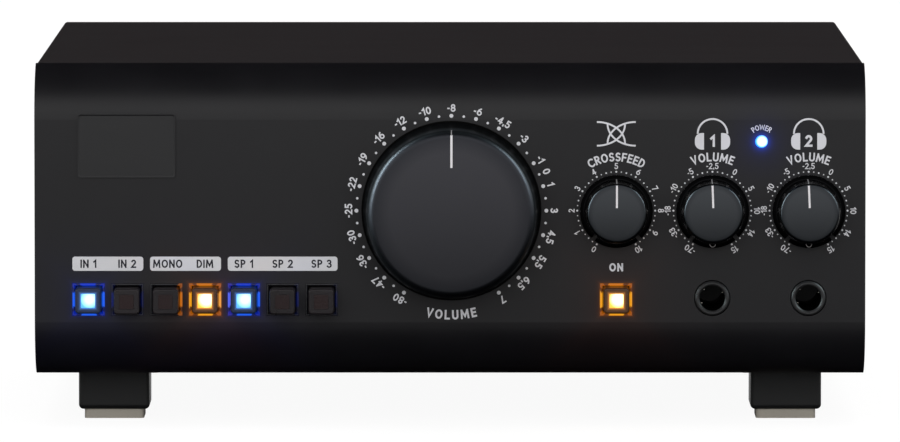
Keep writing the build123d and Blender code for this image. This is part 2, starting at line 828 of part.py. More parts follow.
def volume_knob():
    base = knob_base_diameter / 2
    face = knob_face_diameter / 2
    section = make_face(Polyline((0, -knob_gap), (base, -knob_gap), (face, -knob_reach), (0, -knob_reach),
                                 (0, -knob_gap)))
    knob = revolve(Plane.XY * section, Axis.Y)
    knob = fillet(knob.edges().group_by(Axis.Y)[0], knob_edge_round)
    knob -= rod(0, 0, knob_hollow_radius, -knob_gap - knob_hollow_depth, -knob_gap)
    knob += rod(0, 0, volume_bush_diameter, -knob_gap - knob_hollow_depth, -knob_gap)
    knob -= shaft_bore(knob_reach)
    knob -= pointer_groove(volume_pointer_width, volume_pointer_inner, base, knob_reach)
    return Pos(volume_x, front_y, knob_z) * knob


def small_knob(x, lean):
    """Skirted knob with a tapered body; lean turns its pointer clockwise off the top."""
    skirt = skirt_diameter / 2
    body = small_body_diameter / 2
    face = small_face_diameter / 2
    step_y = -knob_gap - skirt_thickness
    section = make_face(Polyline((0, -knob_gap), (skirt, -knob_gap), (skirt, step_y), (body, step_y),
                                 (face, -small_knob_reach), (0, -small_knob_reach), (0, -knob_gap)))
    knob = revolve(Plane.XY * section, Axis.Y)
    knob = fillet(knob.edges().group_by(Axis.Y)[0], small_edge_round)
    for angle in (180 - skirt_notch_angle, 180 + skirt_notch_angle):
        notch = block((-skirt_notch_width / 2, skirt_notch_width / 2), (step_y, -knob_gap),
                      (skirt - skirt_notch_depth, skirt + skirt_notch_depth))
        knob -= Rot(0, angle, 0) * notch
    knob -= shaft_bore(small_knob_reach)
    knob -= pointer_groove(small_pointer_width, small_pointer_inner, body, small_knob_reach)
    return Pos(x, front_y, knob_z) * Rot(0, lean, 0) * knob


small_pot_depth = front_board_gap
nodes["volume_potentiometer"] = potentiometer(volume_x, volume_pot_size, volume_pot_depth,
                                              volume_bush_diameter)
nodes["volume_shaft"] = shaft(volume_x, knob_reach, volume_pot_depth)
nodes["volume_knob"] = volume_knob()
for name, x, lean in (("crossfeed", crossfeed_x, 0.0), ("phones_1", phones_1_x, phones_1_lean),
                      ("phones_2", phones_2_x, phones_2_lean)):
    nodes[name + "_potentiometer"] = potentiometer(x, small_pot_size, small_pot_depth, small_bush_diameter)
    nodes[name + "_shaft"] = shaft(x, small_knob_reach, small_pot_depth)
    nodes[name + "_knob"] = small_knob(x, lean)


# ---------------------------------------------------------------- push buttons

def button_switch(x):
    """Switch housing on the front board, bored for the stem of its cap."""
    housing = plate(x, button_z, switch_size, switch_size, switch_front_y, board_front_y)
    bore = stem_size + 2 * stem_play
    bore_end_y = pressed_cap_back_y + stem_length + seam_gap
    return housing - plate(x, button_z, bore, bore, switch_front_y, bore_end_y)


def button_collar(x):
    """Clear square collar that lines the panel's window and carries the light to its rim."""
    outer = plate(x, button_z, collar_size, collar_size, front_y, switch_front_y)
    return outer - plate(x, button_z, collar_bore, collar_bore, front_y, switch_front_y)


def button_cap(x, latched):
    """Square cap with a lens recess in its face and a square stem behind it."""
    out = 0.0 if latched else button_travel
    face_y = front_y - pressed_reach - out
    back_y = pressed_cap_back_y - out
    cap = plate(x, button_z, cap_size, cap_size, face_y, back_y, cap_corner)
    cap = fillet(cap.edges().group_by(Axis.Y)[0], cap_edge_round)
    cap -= plate(x, button_z, lens_size, lens_size, face_y, face_y + lens_depth)
    return cap + plate(x, button_z, stem_size, stem_size, back_y, back_y + stem_length)


nodes["button_switches"] = group(button_switch(x) for x in button_xs.values())
nodes["button_collars"] = group(button_collar(x) for x in button_xs.values())
for name, x in button_xs.items():
    nodes[name + "_button"] = button_cap(x, name in latched_buttons)


# ---------------------------------------------------------------- headphone jacks and power light

jack_front_y = front_y - jack_reach


def phones_jack(x):
    """Quarter-inch socket: a nose through wall and panel, and a body behind the wall."""
    end_y = jack_front_y + jack_bore_depth
    body = plate(x, jack_z, jack_body_size, jack_body_size, wall_back_y, end_y + jack_floor)
    nose = rod(x, jack_z, jack_nose_diameter / 2, jack_front_y, wall_back_y)
    nose = chamfer(nose.edges().group_by(Axis.Y)[0], jack_mouth)
    bore = rod(x, jack_z, jack_bore_diameter / 2, jack_front_y, end_y)
    mouth_y = jack_front_y + jack_mouth / 2
    mouth = Pos(x, mouth_y, jack_z) * Rot(90, 0, 0) * Cone(jack_bore_diameter / 2,
                                                          jack_bore_diameter / 2 + jack_mouth, jack_mouth)
    return body + nose - bore - mouth


def jack_nut(x):
    nut = rod(x, jack_z, jack_nut_diameter / 2, nut_front_y, wall_front_y)
    return nut - rod(x, jack_z, jack_nose_diameter / 2 + tapped_play, nut_front_y, wall_front_y)


def power_light():
    """Round light through the panel, on two leads from the front board."""
    radius = led_diameter / 2
    tip_y = front_y - led_reach
    base_y = front_y + led_length
    light = rod(led_x, led_z, radius, tip_y, base_y)
    light = fillet(light.edges().group_by(Axis.Y)[0], led_reach)
    light += rod(led_x, led_z, radius + led_rim, base_y - led_rim, base_y)
    half = led_lead / 2
    for side in (-1, 1):
        x = led_x + side * led_lead_pitch / 2
        light += block((x - half, x + half), (base_y, board_front_y), (led_z - half, led_z + half))
    return light


nodes["phones_1_jack"] = phones_jack(phones_1_x)
nodes["phones_2_jack"] = phones_jack(phones_2_x)
nodes["power_light"] = power_light()


# ---------------------------------------------------------------- rear sockets

def xlr_shell(x, z):
    """Square flange on the rear panel with a round body behind it, drilled for its two screws."""
    flange_y = rear_y + xlr_flange_thickness
    shell = plate(x, z, xlr_flange_width, xlr_flange_height, rear_y, flange_y, xlr_flange_round)
    shell += rod(x, z, xlr_body_radius, rear_y - xlr_body_depth, rear_y)
    for screw_x, screw_z in xlr_screw_spots(x, z):
        shell -= rod(screw_x, screw_z, m3_radius + tapped_play, rear_y, flange_y)
    return shell


def xlr_contacts(x, z, radius, y0, y1, turn):
    """Three round contacts on the pin circle."""
    angles = [radians(turn + i * 120) for i in range(3)]
    return [rod(x + xlr_pin_circle * cos(angle), z + xlr_pin_circle * sin(angle), radius, y0, y1)
            for angle in angles]


def xlr_output(x, z):
    """Male socket: an open cup with three pins standing in it."""
    mouth_y = rear_y + xlr_flange_thickness
    floor_y = mouth_y - xlr_cavity_depth
    socket = xlr_shell(x, z) - rod(x, z, xlr_cavity_radius, floor_y, mouth_y)
    for pin in xlr_contacts(x, z, xlr_pin_radius, floor_y, mouth_y - xlr_pin_recess, xlr_pin_turn):
        socket += pin
    return socket


def latch_pocket(x, z):
    flange_y = rear_y + xlr_flange_thickness
    half = latch_width / 2 + latch_play
    return block((x - half, x + half), (flange_y - latch_depth - latch_play, flange_y),
                 (z + latch_height_offset - latch_travel - latch_play,
                  z + latch_height_offset + latch_height + latch_play))


def xlr_input(x, z):
    """Female socket: a core with three holes inside a round groove, and a pocket for its latch."""
    mouth_y = rear_y + xlr_flange_thickness
    floor_y = mouth_y - xlr_cavity_depth
    groove = rod(x, z, xlr_cavity_radius, floor_y, mouth_y) - rod(x, z, xlr_core_radius, floor_y, mouth_y)
    socket = xlr_shell(x, z) - groove - latch_pocket(x, z)
    for hole in xlr_contacts(x, z, xlr_pin_radius + xlr_pin_play, floor_y, mouth_y, xlr_pin_turn + 180):
        socket -= hole
    return socket


def input_latch(x, z):
    flange_y = rear_y + xlr_flange_thickness
    half = latch_width / 2
    low_z = z + latch_height_offset
    tab = block((x - half, x + half), (flange_y - latch_depth, flange_y + latch_reach),
                (low_z, low_z + latch_height))
    return fillet(tab.edges().filter_by(Axis.Y), latch_height / 4)


def phono_socket(x, z):
    """Screened collar with a round contact hole, a hexagon base and a threaded tail."""
    tip_y = rear_y + rear_reach
    socket = rod(x, z, phono_radius, rear_y - phono_inner_length, tip_y)
    socket = chamfer(socket.edges().group_by(Axis.Y)[-1], phono_radius / 10)
    base = extrude(Plane.XZ.offset(-rear_y - phono_nut_thickness) * Pos(x, z)
                   * RegularPolygon(phono_radius + phono_nut_margin, 6), phono_nut_thickness)
    return socket + base - rod(x, z, phono_socket_radius, tip_y - phono_socket_depth, tip_y)


nodes["xlr_outputs"] = group(xlr_output(x, z) for x, z in xlr_output_spots)
nodes["xlr_inputs"] = group(xlr_input(x, z) for x, z in xlr_input_spots)
nodes["left_input_latch"] = input_latch(*xlr_input_spots[0])
nodes["right_input_latch"] = input_latch(*xlr_input_spots[1])
nodes["phono_sockets"] = group(phono_socket(x, z) for x, z in phono_spots)


# ---------------------------------------------------------------- mains inlet and power switch

inlet_mouth_y = rear_y + inlet_flange_thickness
socket_z = inlet_z + inlet_socket_offset
drawer_z = inlet_z + fuse_offset


def mains_inlet():
    """Three-blade inlet with screw ears, and a slot for its fuse drawer below the socket."""
    inlet = plate(inlet_x, inlet_z, inlet_flange_width, inlet_flange_height, rear_y, inlet_mouth_y,
                  inlet_flange_round)
    inlet += plate(inlet_x, inlet_z, inlet_body_width, inlet_body_height, rear_y - inlet_body_depth, rear_y)
    floor_y = inlet_mouth_y - inlet_socket_depth
    cavity = plate(inlet_x, socket_z, inlet_socket_width, inlet_socket_height, floor_y, inlet_mouth_y)
    upper_corners = cavity.edges().filter_by(Axis.Y).group_by(Axis.Z)[-1]
    inlet -= chamfer(upper_corners, inlet_socket_chamfer)
    blades = [(inlet_x, socket_z + earth_offset)]
    blades += [(inlet_x + side * blade_spacing, socket_z) for side in (-1, 1)]
    for x, z in blades:
        inlet += plate(x, z, blade_width, blade_height, floor_y, floor_y + blade_length)
    slot_width = fuse_width + 2 * fuse_play
    slot_height = fuse_height + 2 * fuse_play
    inlet -= plate(inlet_x, drawer_z, slot_width, slot_height, inlet_mouth_y - fuse_depth - fuse_play,
                   inlet_mouth_y)
    for side in (-1, 1):
        screw_x = inlet_x + side * inlet_screw_x
        inlet -= rod(screw_x, inlet_z, m3_radius + tapped_play, rear_y, inlet_mouth_y)
    return inlet


def fuse_drawer():
    """Drawer with a trough for the fuse and a finger lip on its front."""
    front = inlet_mouth_y + fuse_lip
    drawer = plate(inlet_x, drawer_z, fuse_width, fuse_height, inlet_mouth_y - fuse_depth, front)
    trough_half = fuse_width / 2 - fuse_lip
    return drawer - block((inlet_x - trough_half, inlet_x + trough_half),
                          (inlet_mouth_y - fuse_depth + fuse_lip, inlet_mouth_y - fuse_lip),
                          (drawer_z - fuse_height / 2 + fuse_lip, drawer_z + fuse_height / 2))


rocker_pivot_y = rear_y - rocker_pivot_inset


def power_switch():
    """Bezel and body of the mains switch, hollowed for its rocker."""
    bezel_y = rear_y + rocker_bezel_thickness
    body_back_y = rear_y - rocker_body_depth
    housing = plate(rocker_x, rocker_z, rocker_bezel_width, rocker_bezel_height, rear_y, bezel_y)
    housing += plate(rocker_x, rocker_z, rocker_body_width, rocker_body_height, body_back_y, rear_y)
    swing_radius = sqrt((rocker_height / 2) ** 2 + rocker_front ** 2) + rocker_play
    hollow_back_y = rocker_pivot_y - swing_radius * sin(radians(rocker_tilt)) - rocker_back - rocker_play
    hollow_width = rocker_width + 2 * rocker_play
    housing -= plate(rocker_x, rocker_z, hollow_width, 2 * swing_radius, hollow_back_y, bezel_y)
    pin = Cylinder(rocker_pivot_radius + shaft_play, rocker_width + 2 * (rocker_pivot_length + rocker_play))
    return housing - Pos(rocker_x, rocker_pivot_y, rocker_z) * Rot(0, 90, 0) * pin


def power_rocker():
    """V-faced rocker on two stub pins, resting with its lower end out."""
    half = rocker_height / 2
    section = make_face(Polyline((-rocker_back, -half), (rocker_front, -half), (rocker_valley, 0),
                                 (rocker_front, half), (-rocker_back, half), (-rocker_back, -half)))
    rocker = extrude(Plane.YZ * section, rocker_width / 2, both=True)
    rocker += Rot(0, 90, 0) * Cylinder(rocker_pivot_radius, rocker_width + 2 * rocker_pivot_length)
    return Pos(rocker_x, rocker_pivot_y, rocker_z) * Rot(-rocker_tilt, 0, 0) * rocker


nodes["mains_inlet"] = mains_inlet()
nodes["fuse_drawer"] = fuse_drawer()
nodes["power_switch"] = power_switch()
nodes["power_rocker"] = power_rocker()


# ---------------------------------------------------------------- fasteners

def cover_screws():
    z = base_z + side_screw_row
    return group(
        countersunk((side * half_width, front_y + setback, z), (side, 0, 0), m3_length)
        for side in (-1, 1)
        for setback in side_screw_setbacks
    )


def rear_screws():
    """Screws that hold the rear panel to tray and cover, and the sockets to the rear panel."""
    spots = [(x, rear_y, upper_rear_screw_z) for x in rear_upper_screws]
    spots += [(x, rear_y, lower_rear_screw_z) for x in rear_lower_screws]
    spots += [(screw_x, rear_y + xlr_flange_thickness, screw_z)
              for x, z in xlr_output_spots + xlr_input_spots
              for screw_x, screw_z in xlr_screw_spots(x, z)]
    spots += [(inlet_x + side * inlet_screw_x, inlet_mouth_y, inlet_z) for side in (-1, 1)]
    return group(screw(spot, (0, 1, 0), m3_length) for spot in spots)


def inner_screws():
    """Screws that hold the front panel to the tray's wall, and both boards to their spacers."""
    level_spots = [(x, wall_back_y, z) for x, z in panel_screw_spots()]
    level_spots += [(x, board_back_y, base_z + height) for x, height in spacer_spots]
    screws = [screw(spot, (0, 1, 0), m3_length) for spot in level_spots]
    screws += [screw((x, y, main_board_top_z), (0, 0, 1), main_board_height) for x, y in main_spacer_spots]
    return group(screws)


def control_nuts():
    """Nuts that clamp the potentiometers' bushes and the jacks' noses to the tray's wall."""
    nuts = [bush_nut(volume_x, knob_z, volume_bush_diameter / 2, pot_nut_margin, nut_front_y, wall_front_y)]
    nuts += [bush_nut(x, knob_z, small_bush_diameter / 2, pot_nut_margin, nut_front_y, wall_front_y)
             for x in (crossfeed_x, phones_1_x, phones_2_x)]
    nuts += [jack_nut(x) for x in (phones_1_x, phones_2_x)]
    return group(nuts)


nodes["cover_screws"] = cover_screws()
nodes["rear_screws"] = rear_screws()
nodes["inner_screws"] = inner_screws()
nodes["control_nuts"] = control_nuts()

os.makedirs("parts", exist_ok=True)
for name, shape in nodes.items():
    export_step(shape, f"parts/{name}.step")
print(len(nodes), "nodes")
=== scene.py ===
"""Looks of the desktop monitor controller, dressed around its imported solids."""

from math import atan2, cos, degrees, hypot, pi, radians, sin

import bmesh
import bpy
from mathutils import Matrix, Vector

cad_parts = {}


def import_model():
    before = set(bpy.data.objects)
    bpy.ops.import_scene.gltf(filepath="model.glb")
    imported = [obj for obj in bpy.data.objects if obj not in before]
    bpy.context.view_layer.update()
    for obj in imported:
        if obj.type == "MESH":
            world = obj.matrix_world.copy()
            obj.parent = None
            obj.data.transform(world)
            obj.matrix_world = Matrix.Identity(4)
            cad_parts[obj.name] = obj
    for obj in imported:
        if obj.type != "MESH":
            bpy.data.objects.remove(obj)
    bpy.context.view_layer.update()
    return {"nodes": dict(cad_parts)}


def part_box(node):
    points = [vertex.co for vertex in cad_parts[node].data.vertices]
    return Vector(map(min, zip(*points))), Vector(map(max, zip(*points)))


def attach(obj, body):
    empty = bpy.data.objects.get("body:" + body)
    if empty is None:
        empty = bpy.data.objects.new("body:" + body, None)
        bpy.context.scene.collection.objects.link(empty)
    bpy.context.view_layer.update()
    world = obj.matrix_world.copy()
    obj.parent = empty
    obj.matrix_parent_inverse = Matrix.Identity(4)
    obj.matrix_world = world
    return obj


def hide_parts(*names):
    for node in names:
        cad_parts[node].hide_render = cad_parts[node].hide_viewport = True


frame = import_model()

# ---------------------------------------------------------------- sizes, in millimetres

MM = 0.001
QUARTER = Matrix.Rotation(pi / 2, 4, "X")

camera_distance = 2681.0     # in front of the panel
camera_height = 243.3
camera_pitch = 4.068         # degrees down
camera_lens = 425.45
sensor_width = 36.0

print_thickness = 0.02
bar_thickness = 0.04


def box(node):
    """Lowest and highest corner of a solid, in millimetres."""
    low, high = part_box(node)
    return low / MM, high / MM


def middle(node):
    low, high = box(node)
    return (low + high) / 2


def around(axis, radius, angle):
    """The place (x, z) at that distance off an axis, its angle clockwise from the top."""
    return axis.x + radius * sin(radians(angle)), axis.z + radius * cos(radians(angle))


panel_low = box("front_panel")[0]
panel_y = panel_low.y
rear_y = box("rear_panel")[1].y
volume_axis = middle("volume_shaft")
crossfeed_axis = middle("crossfeed_shaft")
phones_axes = {name: middle(name + "_shaft") for name in ("phones_1", "phones_2")}
lamp_axis = middle("power_light")
badge_low, badge_high = box("badge_plate")
button_names = ("input_1", "input_2", "mono", "dim", "speaker_1", "speaker_2", "speaker_3", "crossfeed")
button_spots = {name: middle(name + "_button") for name in button_names}
button_faces = {name: box(name + "_button")[0].y for name in button_names}
collar_low, collar_high = box("button_collars")
collar_half = (collar_high.z - collar_low.z) / 2
blue_buttons = ("input_1", "speaker_1")
amber_buttons = ("dim", "crossfeed")
lit_buttons = blue_buttons + amber_buttons

# ---------------------------------------------------------------- shader building


def feed(tree, socket, value):
    """Links a socket to another one, or gives it a value."""
    if isinstance(value, bpy.types.NodeSocket):
        tree.links.new(value, socket)
    else:
        socket.default_value = (*value, 1.0) if socket.type == "RGBA" else value


def add(tree, kind, inputs=None, **settings):
    """A shader node with its settings and its inputs, each a value or a socket to link."""
    made = tree.nodes.new("ShaderNode" + kind)
    for key, value in settings.items():
        setattr(made, key, value)
    for key, value in (inputs or {}).items():
        feed(tree, made.inputs[key], value)
    return made


def maths(tree, operation, *values):
    return add(tree, "Math", dict(enumerate(values)), operation=operation).outputs[0]


def product(tree, first, *others):
    for other in others:
        first = maths(tree, "MULTIPLY", first, other)
    return first


def blend(tree, mask, first, second):
    """A colour between two others."""
    return add(tree, "Mix", {0: mask, 6: first, 7: second}, data_type="RGBA").outputs[2]


def ranged(tree, value, low, high, to_low=0.0, to_high=1.0):
    made = add(tree, "MapRange", {"Value": value, "From Min": low, "From Max": high,
                                  "To Min": to_low, "To Max": to_high})
    return made.outputs["Result"]


def noise(tree, place, scale, detail, distortion=0.0):
    made = add(tree, "TexNoise", {"Vector": place, "Scale": scale, "Detail": detail,
                                  "Distortion": distortion})
    return made.outputs["Fac"]


def effect_group(name, inputs, outputs):
    """An empty node group and its ends; its sockets are numbers, apart from a vector named Vector."""
    group = bpy.data.node_groups.new(name, "ShaderNodeTree")
    for socket in inputs:
        kind = "NodeSocketVector" if socket == "Vector" else "NodeSocketFloat"
        group.interface.new_socket(socket, in_out="INPUT", socket_type=kind)
    for socket in outputs:
        group.interface.new_socket(socket, in_out="OUTPUT", socket_type="NodeSocketFloat")
    return group, group.nodes.new("NodeGroupInput").outputs, group.nodes.new("NodeGroupOutput").inputs


def make_grain():
    """Fine surface texture: a height for the bump and a slower shade for colour and gloss."""
    group, given, put = effect_group("surface_grain", ["Vector", "Scale", "Coarseness"], ["Height", "Shade"])
    place, scale = given["Vector"], given["Scale"]
    cells = add(group, "TexVoronoi", {"Vector": place, "Scale": scale}, feature="SMOOTH_F1")
    rough = product(group, cells.outputs["Distance"], given["Coarseness"])
    feed(group, put["Height"], maths(group, "ADD", noise(group, place, scale, 2.0), rough))
    feed(group, put["Shade"], noise(group, place, product(group, scale, 0.012), 5.0))
    return group


def make_handling():
    """Soft patches where fingers have polished or greased a surface."""
    group, given, put = effect_group("handling_marks", ["Vector", "Scale", "Amount"], ["Mask"])
    patches = noise(group, given["Vector"], given["Scale"], 4.0, distortion=0.8)
    feed(group, put["Mask"], product(group, ranged(group, patches, 0.45, 0.75), given["Amount"]))
    return group


def make_edge_wear():
    """A mask along sharp edges, broken up by noise."""
    group, given, put = effect_group("edge_wear", ["Vector", "Width", "Amount"], ["Mask"])
    rounded = add(group, "Bevel", {"Radius": given["Width"]}, samples=4)
    plain = add(group, "NewGeometry")
    match = add(group, "VectorMath", {0: rounded.outputs["Normal"], 1: plain.outputs["Normal"]},
                operation="DOT_PRODUCT")
    edge = ranged(group, match.outputs["Value"], 0.98, 0.80)
    broken = ranged(group, noise(group, given["Vector"], 900.0, 3.0), 0.42, 0.62)
    feed(group, put["Mask"], product(group, edge, broken, given["Amount"]))
    return group


def make_dust():
    """Fine dust that settles on faces turned upwards."""
    group, given, put = effect_group("settled_dust", ["Vector", "Amount"], ["Mask"])
    upward = add(group, "SeparateXYZ", {"Vector": add(group, "NewGeometry").outputs["Normal"]})
    level = ranged(group, upward.outputs["Z"], 0.55, 1.0)
    sparse = ranged(group, noise(group, given["Vector"], 2600.0, 4.0), 0.50, 0.75, 0.15, 1.0)
    clouds = noise(group, given["Vector"], 22.0, 3.0)
    feed(group, put["Mask"], product(group, level, sparse, clouds, given["Amount"]))
    return group


grain_group = make_grain()
handling_group = make_handling()
wear_group = make_edge_wear()
dust_group = make_dust()


class Finish:
    """A material in the making: a Principled shader whose colour and gloss are built up in layers."""

    def __init__(self, name, colour, roughness, metallic=0.0, specular=0.5, coat=0.0, edge=1.0):
        self.material = bpy.data.materials.new(name)
        self.material.use_nodes = True
        self.tree = self.material.node_tree
        self.shader = self.tree.nodes["Principled BSDF"]
        self.set("Metallic", metallic)
        self.set("Specular IOR Level", specular)
        self.set("Specular Tint", (edge, edge, edge))
        self.set("Coat Weight", coat)
        self.set("Coat Roughness", 0.08)
        self.place = add(self.tree, "TexCoord").outputs["Object"]
        self.colour = colour
        self.roughness = roughness
        self.normal = None
        self.scatter = None

    def set(self, key, value):
        feed(self.tree, self.shader.inputs[key], value)

    def effect(self, group, **inputs):
        """What a shared node group puts out over this surface."""
        return add(self.tree, "Group", {"Vector": self.place, **inputs}, node_tree=group).outputs

    def bump(self, height, depth):
        """Relief of that depth in millimetres, on top of any that is there already."""
        made = add(self.tree, "Bump", {"Height": height, "Distance": depth * MM})
        if self.normal:
            feed(self.tree, made.inputs["Normal"], self.normal)
        self.normal = made.outputs["Normal"]

    def grain(self, scale, depth, coarseness=0.0, mottle=0.1, spread=0.04):
        """Fine relief, with slow changes of colour and gloss."""
        made = self.effect(grain_group, Scale=scale, Coarseness=coarseness)
        self.bump(made["Height"], depth)
        shade = ranged(self.tree, made["Shade"], 0.3, 0.7)
        darker = tuple(part * (1 - mottle) for part in self.colour)
        lighter = tuple(part * (1 + mottle) for part in self.colour)
        self.colour = blend(self.tree, shade, darker, lighter)
        self.roughness = ranged(self.tree, shade, 0.0, 1.0, self.roughness - spread,
                                self.roughness + spread)

    def crowned(self, spot, radius):
        """Relief of a face that swells to its middle, as part of a ball of that radius."""
        reach = maths(self.tree, "POWER", self.off_axis(spot), 2.0)
        self.bump(product(self.tree, reach, -0.5 / radius), 1.0)

    def layer(self, mask, colour, roughness):
        """Another finish over this one where the mask is 1."""
        self.colour = blend(self.tree, mask, self.colour, colour)
        rest = product(self.tree, maths(self.tree, "SUBTRACT", 1.0, mask), self.roughness)
        self.roughness = maths(self.tree, "ADD", product(self.tree, mask, roughness), rest)

    def handled(self, amount, polish=-0.08, scale=55.0):
        mask = self.effect(handling_group, Scale=scale, Amount=amount)["Mask"]
        self.roughness = maths(self.tree, "ADD", self.roughness, product(self.tree, mask, polish))

    def worn(self, amount, colour, width):
        self.layer(self.effect(wear_group, Width=width * MM, Amount=amount)["Mask"], colour, 0.35)

    def dusty(self, amount):
        self.layer(self.effect(dust_group, Amount=amount)["Mask"], (0.30, 0.28, 0.25), 0.9)

    def glow(self, colour, strength):
        """Light given off, in a colour that changes over the surface."""
        self.set("Emission Color", colour)
        self.set("Emission Strength", strength)

    def halo(self, distance, colour, start, fade):
        """Painted glow: light given off by the surface that falls off from that distance, added to any other.
        """
        level = maths(self.tree, "DIVIDE", maths(self.tree, "SUBTRACT", start, distance), fade)
        level = maths(self.tree, "EXPONENT", maths(self.tree, "MINIMUM", level, 0.0))
        light = add(self.tree, "VectorMath", {0: colour, "Scale": level}, operation="SCALE")
        if self.scatter:
            light = add(self.tree, "VectorMath", {0: self.scatter, 1: light.outputs["Vector"]})
        self.scatter = light.outputs["Vector"]

    def done(self):
        if self.scatter:
            self.glow(self.scatter, 1.0)
        if self.normal:
            self.set("Normal", self.normal)
        self.set("Base Color", self.colour)
        self.set("Roughness", self.roughness)
        return self.material

    def along(self, axis):
        """One coordinate of the surface, in metres."""
        return add(self.tree, "SeparateXYZ", {"Vector": self.place}).outputs[axis]

    def centred(self, spot):
        """The surface's place about a line along Y through a spot, in millimetres."""
        made = add(self.tree, "Mapping", {"Vector": self.place, "Location": (-spot.x, 0.0, -spot.z),
                                          "Scale": (1 / MM, 0.0, 1 / MM)})
        return made.outputs["Vector"]

    def off_axis(self, spot):
        """Distance from the line, in millimetres."""
        return add(self.tree, "VectorMath", {0: self.centred(spot)}, operation="LENGTH").outputs["Value"]

    def off_square(self, spot):
        """The larger of the distances across and up from the line, in millimetres."""
        parts = add(self.tree, "SeparateXYZ", {"Vector": self.centred(spot)}).outputs
        return maths(self.tree, "MAXIMUM", maths(self.tree, "ABSOLUTE", parts["X"]),
                     maths(self.tree, "ABSOLUTE", parts["Z"]))


# ---------------------------------------------------------------- finishes

volume_face_depth = 1.8
volume_shade_radii = (15.5, 20.2) # radii between which painted shade darkens the face
volume_crown = 380.0         # radius of the swelling of the knobs' faces
small_face_depth = 0.5
small_face_radius = 7.2
# Radii between which painted shade darkens the small knobs' faces.
small_shade_radii = (5.9, small_face_radius)
small_skirt_radius = 8.25
small_crown = 105.0
mask_fade = 0.5              # behind a face, over which its finish gives way
lamp_radius = 1.5
window_half = 1.78
# Colours of the painted glow on the panel, close to the lit buttons and further off.
blue_near, blue_far = (0.0, 0.004, 0.060), (0.0, 0.0006, 0.012)
amber_near, amber_far = (0.070, 0.018, 0.0), (0.0100, 0.0020, 0.0)


def panel_finish():
    """Satin black lacquer with a very fine grain, with a painted glow round the lamp and the lit buttons."""
    made = Finish("panel_lacquer", (0.0044, 0.0042, 0.0053), 0.44, specular=0.46)
    made.grain(5200.0, 0.004, mottle=0.12, spread=0.02)
    made.handled(0.5, polish=-0.04, scale=38.0)
    made.worn(0.25, (0.05, 0.05, 0.052), width=0.3)
    # Painted glow round the power lamp and round each lit button, given off by the lacquer itself.
    reach = made.off_axis(lamp_axis)
    made.halo(reach, (0.004, 0.030, 0.40), lamp_radius, 0.55)
    made.halo(reach, (0.0, 0.002, 0.034), lamp_radius, 3.0)
    for name in lit_buttons:
        reach = made.off_square(button_spots[name])
        near, far = (blue_near, blue_far) if name in blue_buttons else (amber_near, amber_far)
        made.halo(reach, near, collar_half, 0.35)
        made.halo(reach, far, collar_half, 4.5)
    return made.done()


def cover_finish():
    """Fine textured powder coat."""
    made = Finish("powder_coat", (0.0190, 0.0162, 0.0172), 0.62, specular=0.18)
    made.grain(2600.0, 0.02, coarseness=0.8, mottle=0.04, spread=0.02)
    made.worn(0.3, (0.06, 0.06, 0.06), width=0.35)
    made.dusty(0.012)
    return made.done()


def plastic_finish(name, colour, roughness, scale=3200.0, depth=0.008, **more):
    made = Finish(name, colour, roughness, **more)
    made.grain(scale, depth, coarseness=0.3, mottle=0.12, spread=0.05)
    made.handled(0.4)
    return made.done()


def metal_finish(name, colour, roughness):
    made = Finish(name, colour, roughness, metallic=1.0)
    made.grain(1800.0, 0.004, mottle=0.12, spread=0.07)
    made.handled(0.6, polish=0.12)
    return made.done()


def knob_depth(made, name, none, full):
    """A mask that goes from 0 to 1 between two depths behind a knob's face."""
    face = box(name + "_knob")[0].y
    return ranged(made.tree, made.along("Y"), (face + none) * MM, (face + full) * MM)


def knob_finish():
    """Satin black anodised aluminium with fine turning rings about the axis; painted shade makes its side
    blacker and its face darker towards the edge, and a painted sheen lightens the edge's round.
    """
    made = Finish("anodised_knob", (0.0080, 0.0080, 0.0088), 0.48, metallic=1.0, edge=0.46)
    reach = made.off_axis(volume_axis)
    rings = add(made.tree, "TexNoise", {"W": reach, "Scale": 9.0, "Detail": 3.0}, noise_dimensions="1D")
    made.grain(4200.0, 0.003, mottle=0.08, spread=0.02)
    made.bump(rings.outputs["Fac"], 0.0025)
    made.crowned(volume_axis, volume_crown)
    # Painted shade: the side keeps a blacker colour than the face.
    face = knob_depth(made, "volume", volume_face_depth + mask_fade, volume_face_depth)
    made.layer(face, (0.060, 0.059, 0.066), 0.38)
    # Painted shade: the face darker towards its edge.
    edge_shade = ranged(made.tree, reach, *volume_shade_radii)
    made.layer(product(made.tree, face, edge_shade), (0.036, 0.037, 0.043), 0.38)
    # Painted sheen: a lighter band over the round of the edge and the side behind it.
    sheen_band = product(made.tree, knob_depth(made, "volume", 6.5, 3.5),
                       knob_depth(made, "volume", 0.30, 0.70))
    made.layer(sheen_band, (0.080, 0.084, 0.092), 0.40)
    made.handled(0.4, polish=-0.04, scale=60.0)
    made.worn(0.15, (0.12, 0.12, 0.13), width=0.2)
    return made.done()


def small_knob_finish(name, spot):
    """Moulded black knob: satin face and glossier sides; painted shade makes the sides blacker, the skirt
    deep black and the face darker towards its edge.
    """
    made = Finish(name + "_moulding", (0.0110, 0.0110, 0.0120), 0.26, metallic=1.0)
    reach = made.off_axis(spot)
    made.grain(3600.0, 0.003, coarseness=0.2, mottle=0.1, spread=0.02)
    made.crowned(spot, small_crown)
    # Painted shade: the skirt deep black.
    skirt = ranged(made.tree, reach, small_skirt_radius, small_skirt_radius + 0.1)
    made.layer(skirt, (0.0020, 0.0020, 0.0022), 0.24)
    # Painted shade: the sides keep a blacker colour than the face.
    flat = ranged(made.tree, reach, small_face_radius, small_face_radius + 0.12, 1.0, 0.0)
    face = product(made.tree, knob_depth(made, name, small_face_depth + mask_fade, small_face_depth), flat)
    made.layer(face, (0.062, 0.066, 0.072), 0.34)
    # Painted shade: the face darker towards its edge.
    edge_shade = ranged(made.tree, reach, *small_shade_radii)
    made.layer(product(made.tree, face, edge_shade), (0.038, 0.041, 0.046), 0.34)
    made.handled(0.3, polish=-0.04)
    return made.done()


